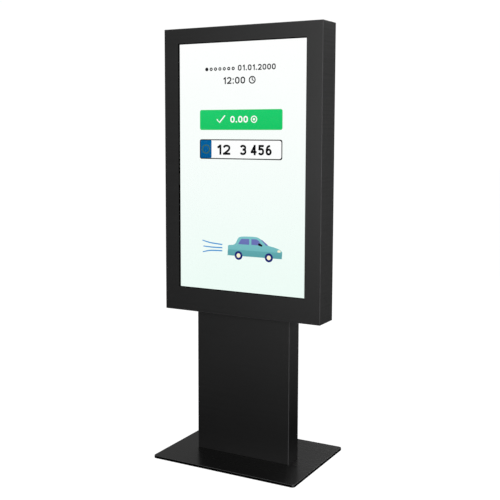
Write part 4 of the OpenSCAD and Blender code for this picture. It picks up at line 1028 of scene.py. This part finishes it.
# controller board; its parts stand on the level y and reach towards the door
board = {"rim": (30, 190, 1090, 1210, -14, -12.4, 0.15, 2.5), "back": -20, "y": -12.4,
         "corners": [(x, z) for x in (36, 184) for z in (1110, 1204)], "hole": 1.6, "standoff": 2.6,
         "fins": (90.4, 4.85, 1.6, 9), "sockets": (44, 36, 26, 4),
         "headers": ((60, 110, 1190, 1198, -6.4), (140, 180, 1182, 1196, -4.4)),
         "cans": ((48, 1126), (60, 1126), (48, 1140), (150, 1130), (163, 1130), (150, 1145), (163, 1145)),
         "chips": ((62, 1160, 16, 16), (140, 1160, 12, 18), (160, 1162, 10, 6), (44, 1172, 9, 6),
                   (80, 1118, 14, 6), (110, 1116, 8, 8), (44, 1182, 8, 5), (128, 1118, 10, 5))}
y = board["y"]
boardHoles = [roundHole(*spot, board["hole"]) for spot in board["corners"]]
addPiece("controllerBoard", drilledPlate(flatRows(*board["rim"]), boardHoles, "y", 0.1), "circuitBoard",
         stands=["driver_board"])
post = board["standoff"]
standoffs = [loft([stand(roundedLoop(x - post, x + post, z - post, z + post, 1.2, 2), level)
                   for level in (board["back"], -14)], caps=True) for x, z in board["corners"]]
standoffs += [socketHead(x, y, z, 2.8, 1.8) for x, z in board["corners"]]
addPiece("boardStandoffs", standoffs, "brass", slotName="zinc_steel")
left, step, thick, count = board["fins"]
sink = [softBlock((90, y, 1135), (130, -8.4, 1175), 0.3)]
sink += [softBlock((left + i * step, -8.6, 1135.4), (left + thick + i * step, -0.6, 1174.6), 0.25)
         for i in range(count)]
addPiece("boardHeatSink", sink, "blackAnodised", slotName="circuit_board")
left, step, wide, count = board["sockets"]
boardBits = []
for x in range(left, left + step * count, step):  # sockets along the lower edge, with their contacts
    boardBits += [(0, softBlock((x, y, 1092), (x + wide, -3.4, 1106), 0.5)),
                  (1, softBlock((x + 3, -11, 1090.6), (x + wide - 3, -5, 1092.4), 0.2))]
boardBits += [(2, softBlock((x0, y, z0), (x1, top, z1), 0.4)) for x0, x1, z0, z1, top in board["headers"]]
can = [(0.01, 0), (4.2, 0), (4.2, 1.2), (3.9, 1.8), (4.2, 2.4), (4.2, 8.6), (3.6, 9.2), (0.01, 9.2)]
boardBits += [(3, turned(can, (x, y, z), "y", 20)) for x, z in board["cans"]]
boardBits += [(0, softBlock((x, y, z), (x + w, y + 1.5, z + h), 0.25)) for x, z, w, h in board["chips"]]
addPiece("boardParts", [shape for _, shape in boardBits], ["chipBlack", "brass", "whitePlastic", "psuCase"],
         slotName="circuit_board", finishOf=[number for number, _ in boardBits])

# thermostat

knob = {"middle": (120, 0, 1010), "radius": 11, "grips": 20, "depth": 0.5, "back": 14.4, "front": 20.0,
        "tick": (12.6, 14.8, 0.3), "face": (13.95, 14.08)}
refine("thermostat", "greyPlastic", 0.8, name="thermostatCase")


def knobRings(k):
    # radius r - depth * (1 - |cos(grips * angle / 2)|): a fluted rim, crowned at its front edge
    angle = fullTurn(160)
    flute = k["depth"] * (1 - np.abs(np.cos(k["grips"] * angle / 2)))
    x, _, z = k["middle"]
    rows = [(0.97, k["back"]), (1, k["back"] + 0.5), (1, k["front"] - 1.0), (0.96, k["front"] - 0.25),
            (0.9, k["front"])]
    return loft([np.stack([x + (k["radius"] * a - flute) * np.cos(angle), np.full(160, y),
                           z + (k["radius"] * a - flute) * np.sin(angle)], -1) for a, y in rows], caps=True)


def dialTick(k, deg):
    # a thin bar pointing outwards, deg away from upright
    a = math.radians(90 - deg)
    way, side = np.array([math.cos(a), math.sin(a)]), np.array([-math.sin(a), math.cos(a)])
    near, far, half = k["tick"]
    mid = np.array(k["middle"])[[0, 2]]
    return slab([mid + reach * way + sign * half * side
                 for reach, sign in ((near, 1), (far, 1), (far, -1), (near, -1))], *k["face"])


spindle = turned([(0.01, 7), (3, 7), (3, 14.6), (0.01, 14.6)], knob["middle"], "y", 24)
mark = softBlock((119.3, 19.8, 1012), (120.7, 20.0, 1019), 0.08)
addPiece("thermostatKnob", [knobRings(knob), spindle, mark], ["bluePlastic", "whitePlastic"],
         "thermostat_knob", ["thermostat_knob"], finishOf=[0, 0, 1])
addPiece("thermostatDial", [dialTick(knob, deg) for deg in range(-135, 136, 30)], "chipBlack",
         slotName="grey_plastic")

# fans

print("fans")
fan = {"x": 75, "z": 1467, "blades": 7, "hub": 19, "tip": 42, "front": -1.5, "rear": 18, "middle": 8.2,
       "pitch": 38, "ease": 12, "chord": (11.0, 2.0), "camber": 1.4, "sweep": 0.35, "thick": 1.5,
       "screws": 41, "screw": (3.4, 1.9), "wire": 0.8,
       "rings": (12, 20, 28, 36, 44), "ringLevel": 21.9, "spoke": 58, "spokeLevel": 20.9}
refine("fan_bracket", "galvanised", 0.5)


def bladeRings(f, turnBy):
    # span s from hub to tip, chord c from -1 to 1: pitch eases towards the tip, the tip is swept back
    s = np.linspace(0, 1, 10)[:, None]
    loopAngle = fullTurn(20)[None, :]
    c, upDown = np.cos(loopAngle), np.sin(loopAngle)
    radius = f["hub"] - 1.2 + (f["tip"] - f["hub"] + 1.2) * s
    chord = f["chord"][0] + f["chord"][1] * s
    pitch = np.radians(f["pitch"] - f["ease"] * s)
    thick = f["thick"] * (1 - 0.45 * s) * 0.5
    camber = f["camber"] * (1 - c**2)
    along = c * chord
    y = f["middle"] - along * np.sin(pitch) + (upDown * thick + camber) * np.cos(pitch)
    around = along * np.cos(pitch) + (upDown * thick + camber) * np.sin(pitch)
    angle = turnBy + f["sweep"] * s**1.4 + around / radius
    return np.stack([radius * np.cos(angle), y, radius * np.sin(angle)], -1)


def fanRotor(f, x):
    hub, front, rear = f["hub"], f["front"], f["rear"]
    profile = [(0.01, front), (hub - 1.2, front), (hub, front + 1.2), (hub, rear - 2),
               (hub - 0.6, rear - 0.7), (hub - 2, rear), (6, rear), (5.5, rear - 0.4), (0.01, rear - 0.4)]
    parts = [turned(profile, (x, 0, f["z"]), "y", 48)]
    for k in range(f["blades"]):
        rings = bladeRings(f, 2 * math.pi * k / f["blades"]) + np.array([x, 0, f["z"]])
        parts.append(loft(rings, caps=True))
    return parts


def fanGuard(f, x):
    # wire rings, two crossed wires under them, and an eye at each screw
    turn = fullTurn(48)
    rings = [np.stack([x + r * np.cos(turn), np.full(48, f["ringLevel"]), f["z"] + r * np.sin(turn)], -1)
             for r in f["rings"]]
    reach = np.linspace(-1, 1, 13) * f["spoke"]
    level = np.full(len(reach), f["spokeLevel"])
    spokes = [np.stack([x + reach * math.cos(a), level, f["z"] + reach * math.sin(a)], -1)
              for a in (math.pi / 4, 3 * math.pi / 4)]
    parts = [tubeAlong(ring, f["wire"], 8, closed=True) for ring in rings]
    parts += [tubeAlong(spoke, f["wire"], 8) for spoke in spokes]
    return parts + [eyelet(a, 20, b, 4.2) for a, b in fourSpots(x, f["z"], f["screws"], f["screws"])]


fanSides = {"left": -fan["x"], "right": fan["x"]}
for side, x in fanSides.items():
    addPiece(side + "FanRotor", fanRotor(fan, x), "rotorPlastic", side + "_fan_rotor", [side + "_fan_rotor"])
for side in fanSides:
    refine(side + "_fan_frame", "fanPlastic", 0.6)
addPiece("fanGuards", [part for x in fanSides.values() for part in fanGuard(fan, x)], "zincSteel")
addPiece("fanScrews", [socketHead(a, 20.8, b, *fan["screw"]) for x in fanSides.values()
                       for a, b in fourSpots(x, fan["z"], fan["screws"], fan["screws"])], "zincSteel")


# distribution in the column

print("distribution and cables")
rack = {"z": 330, "plate": (-170, 170, 255, 405, -53, -51, 0.5, 4), "slot": (90, 100, 300, 360, 4.9),
        "deviceX": (-71, -53, -27, -8.8), "deviceRise": 33, "deviceY": -11.6, "devicePoint": -6.2,
        "blockX": 16, "blockWide": 6.3, "blocks": (0, 0, 1, 1, 0, 0, 2, 2), "blockRise": 20, "blockY": -20.6,
        "stops": (-94, 68)}
x0, x1, *slotRest = rack["slot"]
rackSlots = [(-x1, -x0, *slotRest), (x0, x1, *slotRest)]
addPiece("distributionPlate", drilledPlate(flatRows(*rack["plate"]), rackSlots, "y", 0.2), "galvanised",
         stands=["distribution_plate"])
refine("din_rail", "zincSteel", 0.2, name="railStrip")
refine("circuit_breaker", "greyPlastic", 0.5)
refine("breaker_lever", "bluePlastic", 0.5)
# the protector's plug is red from its shoulder outwards; each terminal block has its own colour
refine("surge_protector", ["greyPlastic", "redPlastic"], 0.5, slotName="red_plastic",
       paintRule=lambda c: int(c.y > rack["devicePoint"]))
refine("terminal_blocks", ["terminalGrey", "bluePlastic", "terminalGreen"], 0.3,
       paintRule=lambda c: rack["blocks"][min(7, max(0, int((c.x - rack["blockX"]) // rack["blockWide"])))])
deviceScrew = [(0.01, 0), (2.7, 0), (2.7, 0.8), (2.2, 1.2), (0.01, 1.2)]
blockScrew = [(0.01, 0), (2.0, 0), (2.0, 0.8), (1.6, 1.2), (0.01, 1.2)]
screws = [turned(deviceScrew, (x, rack["deviceY"], rack["z"] + sz * rack["deviceRise"]), "y", 20)
          for x in rack["deviceX"] for sz in (-1, 1)]
screws += [turned(blockScrew, (19 + i * rack["blockWide"], rack["blockY"],
                               rack["z"] + sz * rack["blockRise"]), "y", 16)
           for i in range(len(rack["blocks"])) for sz in (-1, 1)]
addPiece("deviceScrews", screws, "brass", slotName="zinc_steel")
addPiece("endStops", [softBlock((x, -43.4, 312), (x + 8, -18, 348), 0.8) for x in rack["stops"]],
         "terminalGrey")
refine("cable_glands", "glandPlastic", 0.6)

# leads: node, finish, radius, and the points that each runs through
leads = {
    "riserCable": ("riser_cable", "cableBlack", 5.0, [[
        (40, -26, 356.5), (40, -26, 368), (40, -24, 396), (36, -18, 440), (24, -15, 500), (24, -15, 530),
        (24, -15, 552), (24, -15, 576), (24, -15, 596), (20, -8, 650), (8, 0, 700), (-1, 0, 760),
        (-1, 0, 800), (-1, 0, 830)]]),
    "pictureLead": ("display_cable", "cableBlack", 3.0, [[
        (-60, -8, 1098), (-60, -8, 1075), (-52, -4, 1048), (-10, 4, 1034), (34, 4, 1036), (55, -4, 1058),
        (57, -8, 1078), (57, -8, 1091.5)]]),
    "supplyLead": ("supply_cable", "cableRed", 2.5, [[
        (1, 0, 885), (1, 0, 915), (6, 6, 950), (24, 8, 985), (66, 4, 1014), (88, -4, 1048), (93, -8, 1074),
        (93, -8, 1091.5)]]),
    "fanLeads": ("fan_leads", "cableBlack", 2.0, [
        [(128, -8, 1041), (128, -8, 1050), (150, -12, 1064), (196, -15, 1078), (212, -16, 1110),
         (212, -16, 1220), (212, -15, 1330), (190, -4, 1378), (120, 6, 1396), (82, 8, 1406), (75, 8, 1420.5)],
        [(112, -8, 1041), (112, -8, 1054), (140, -10, 1072), (192, -10, 1086), (206, -11, 1116),
         (206, -11, 1220), (206, -10, 1326), (180, 2, 1364), (80, 10, 1378), (-40, 10, 1390), (-72, 8, 1404),
         (-75, 8, 1420.5)]]),
    "columnWires": ("column_wires", "cableBlue", 2.0, [
        [(-53, -20, 287.5), (-53, -20, 276), (-46, -18, 262), (-30, -18, 262), (-27, -20, 276),
         (-27, -20, 287.5)],
        [(-9, -20, 287.5), (-9, -20, 274), (0, -22, 260), (16, -24, 264), (22, -26, 284), (22, -26, 303.5)]]),
}
for leadName, (nodeName, finishName, radius, routes) in leads.items():
    addPiece(leadName, [tubeAlong(smoothRoute(route, 8), radius, 14) for route in routes], finishName,
             stands=[nodeName])
# cable ties round the two fan leads: a flat band on an oval, with its little head
tie = {"heights": (1130, 1180, 1230, 1280), "middle": (209, -13.5), "outer": (6.2, 5.4), "inner": (5.3, 4.6),
       "half": 1.2, "head": ((206.8, 211.2), (-8.6, -5.4), 2)}


def cableTie(t, z):
    # ellipse (x + a cos, y + b sin), outside up and inside down
    turn = fullTurn(28)
    x, y = t["middle"]
    outer, inner = (np.stack([x + a * np.cos(turn), y + b * np.sin(turn)], -1)
                    for a, b in (t["outer"], t["inner"]))
    h = t["half"]
    band = [stand(loop, z + rise, "z") for loop, rise in ((outer, -h), (outer, h), (inner, h), (inner, -h))]
    (x0, x1), (y0, y1), high = t["head"]
    return [loft(band, closeV=True), softBlock((x0, y0, z - high), (x1, y1, z + high), 0.4)]


addPiece("cableTies", [part for z in tie["heights"] for part in cableTie(tie, z)], "glandPlastic")


# floor, light and camera

print("floor, light and camera")
# lights: (name, place, size in metres, power in watts)
# mirrored is the painted shade of the floor round the plate: from, to, grey at from, grey at to
studio = {"floor": 30.0, "paper": 0.93, "matt": 0.22, "mirrored": (0.5, 1.9, 0.0, 0.26),
          "above": (0, -0.3, 0.95), "sky": (-0.5, 1.0, 0.02, 0.55), "seen": 1.02,
          "lights": (("keyLight", (0.5, -3.4, 3.0), (2.4, 1.2), 45.0),
                     ("fillLight", (0.25, -3.9, 1.12), (2.2, 1.7), 52.5),
                     ("backLight", (0.05, 3.6, 2.9), (2.1, 1.4), 35.0),
                     ("rimLight", (3.2, 2.4, 1.15), (1.6, 2.1), 18.0))}


def spreadOver(tree, factor, ends):
    # ends are (from, to, value at from, value at to)
    a, b, low, high = ends
    return spread(tree, factor, low, high, a, b)


def bySight(tree, mirrored, seen, kind):
    # one look for what the camera sees itself, another for what the object mirrors and is lit by
    path = addNode(tree, "LightPath").outputs["Is Camera Ray"]
    either = addNode(tree, "MixShader", {"Fac": path, 1: mirrored.outputs[0], 2: seen.outputs[0]})
    addNode(tree, kind, {"Surface": either.outputs[0]})


floorMesh = bpy.data.meshes.new("floor")
s = studio["floor"]
floorMesh.from_pydata([(-s, -s, 0), (s, -s, 0), (s, s, 0), (-s, s, 0)], [], [(0, 1, 2, 3)])
floor = bpy.data.objects.new("floor", floorMesh)
scene.collection.objects.link(floor)
paper = bpy.data.materials.new("paperSweep")
paper.use_nodes = True
tree = paper.node_tree
tree.nodes.clear()
lit = addNode(tree, "Emission", {"Color": (1, 1, 1, 1), "Strength": studio["paper"]})
matt = addNode(tree, "BsdfDiffuse", {"Color": (*[studio["matt"]] * 3, 1)})
both = addNode(tree, "AddShader", {0: lit.outputs[0], 1: matt.outputs[0]})
# painted shade: what the object mirrors of the floor and takes light from is dark beside the plate, paler
# further out
where = addNode(tree, "TexCoord").outputs["Object"]
outward = addNode(tree, "VectorMath", {0: where}, operation="LENGTH").outputs["Value"]
mirroredFloorShade = addNode(tree, "BsdfDiffuse", {"Color": spreadOver(tree, outward, studio["mirrored"])})
bySight(tree, mirroredFloorShade, both, "OutputMaterial")
floorMesh.materials.append(paper)

world = bpy.data.worlds.new("studioWorld")
scene.world = world
world.use_nodes = True
tree = world.node_tree
tree.nodes.clear()
where = addNode(tree, "TexCoord").outputs["Generated"]
upwards = {0: where, 1: Vector(studio["above"]).normalized()}
towards = addNode(tree, "VectorMath", upwards, operation="DOT_PRODUCT").outputs["Value"]
seen = addNode(tree, "Background", {"Color": (1, 1, 1, 1), "Strength": studio["seen"]})
sky = spreadOver(tree, towards, studio["sky"])
around = addNode(tree, "Background", {"Color": (1, 1, 1, 1), "Strength": sky})
bySight(tree, around, seen, "OutputWorld")

for lightName, place, size, power in studio["lights"]:
    light = bpy.data.lights.new(lightName, "AREA")
    light.shape = "RECTANGLE"
    light.size, light.size_y = size
    light.energy = power
    lamp = bpy.data.objects.new(lightName, light)
    lamp.location = place
    lamp.rotation_euler = (Vector((0, 0, 1.0)) - Vector(place)).to_track_quat("-Z", "Y").to_euler()
    lamp.visible_camera = False
    scene.collection.objects.link(lamp)

view = {"place": (1.5734, -2.9511, 1.2410), "turn": 0.5208, "dip": 0.1067, "lens": 64.48, "sensor": 36,
        "shift": (0.056, -0.048)}
camera = bpy.data.cameras.new("camera")
camera.sensor_width = view["sensor"]
camera.lens = view["lens"]
camera.shift_x, camera.shift_y = view["shift"]
tripod = bpy.data.objects.new("camera", camera)
tripod.location = view["place"]
tripod.rotation_euler = (math.pi / 2 - view["dip"], 0, view["turn"])
scene.collection.objects.link(tripod)
scene.camera = tripod
scene.view_settings.view_transform = "Standard"
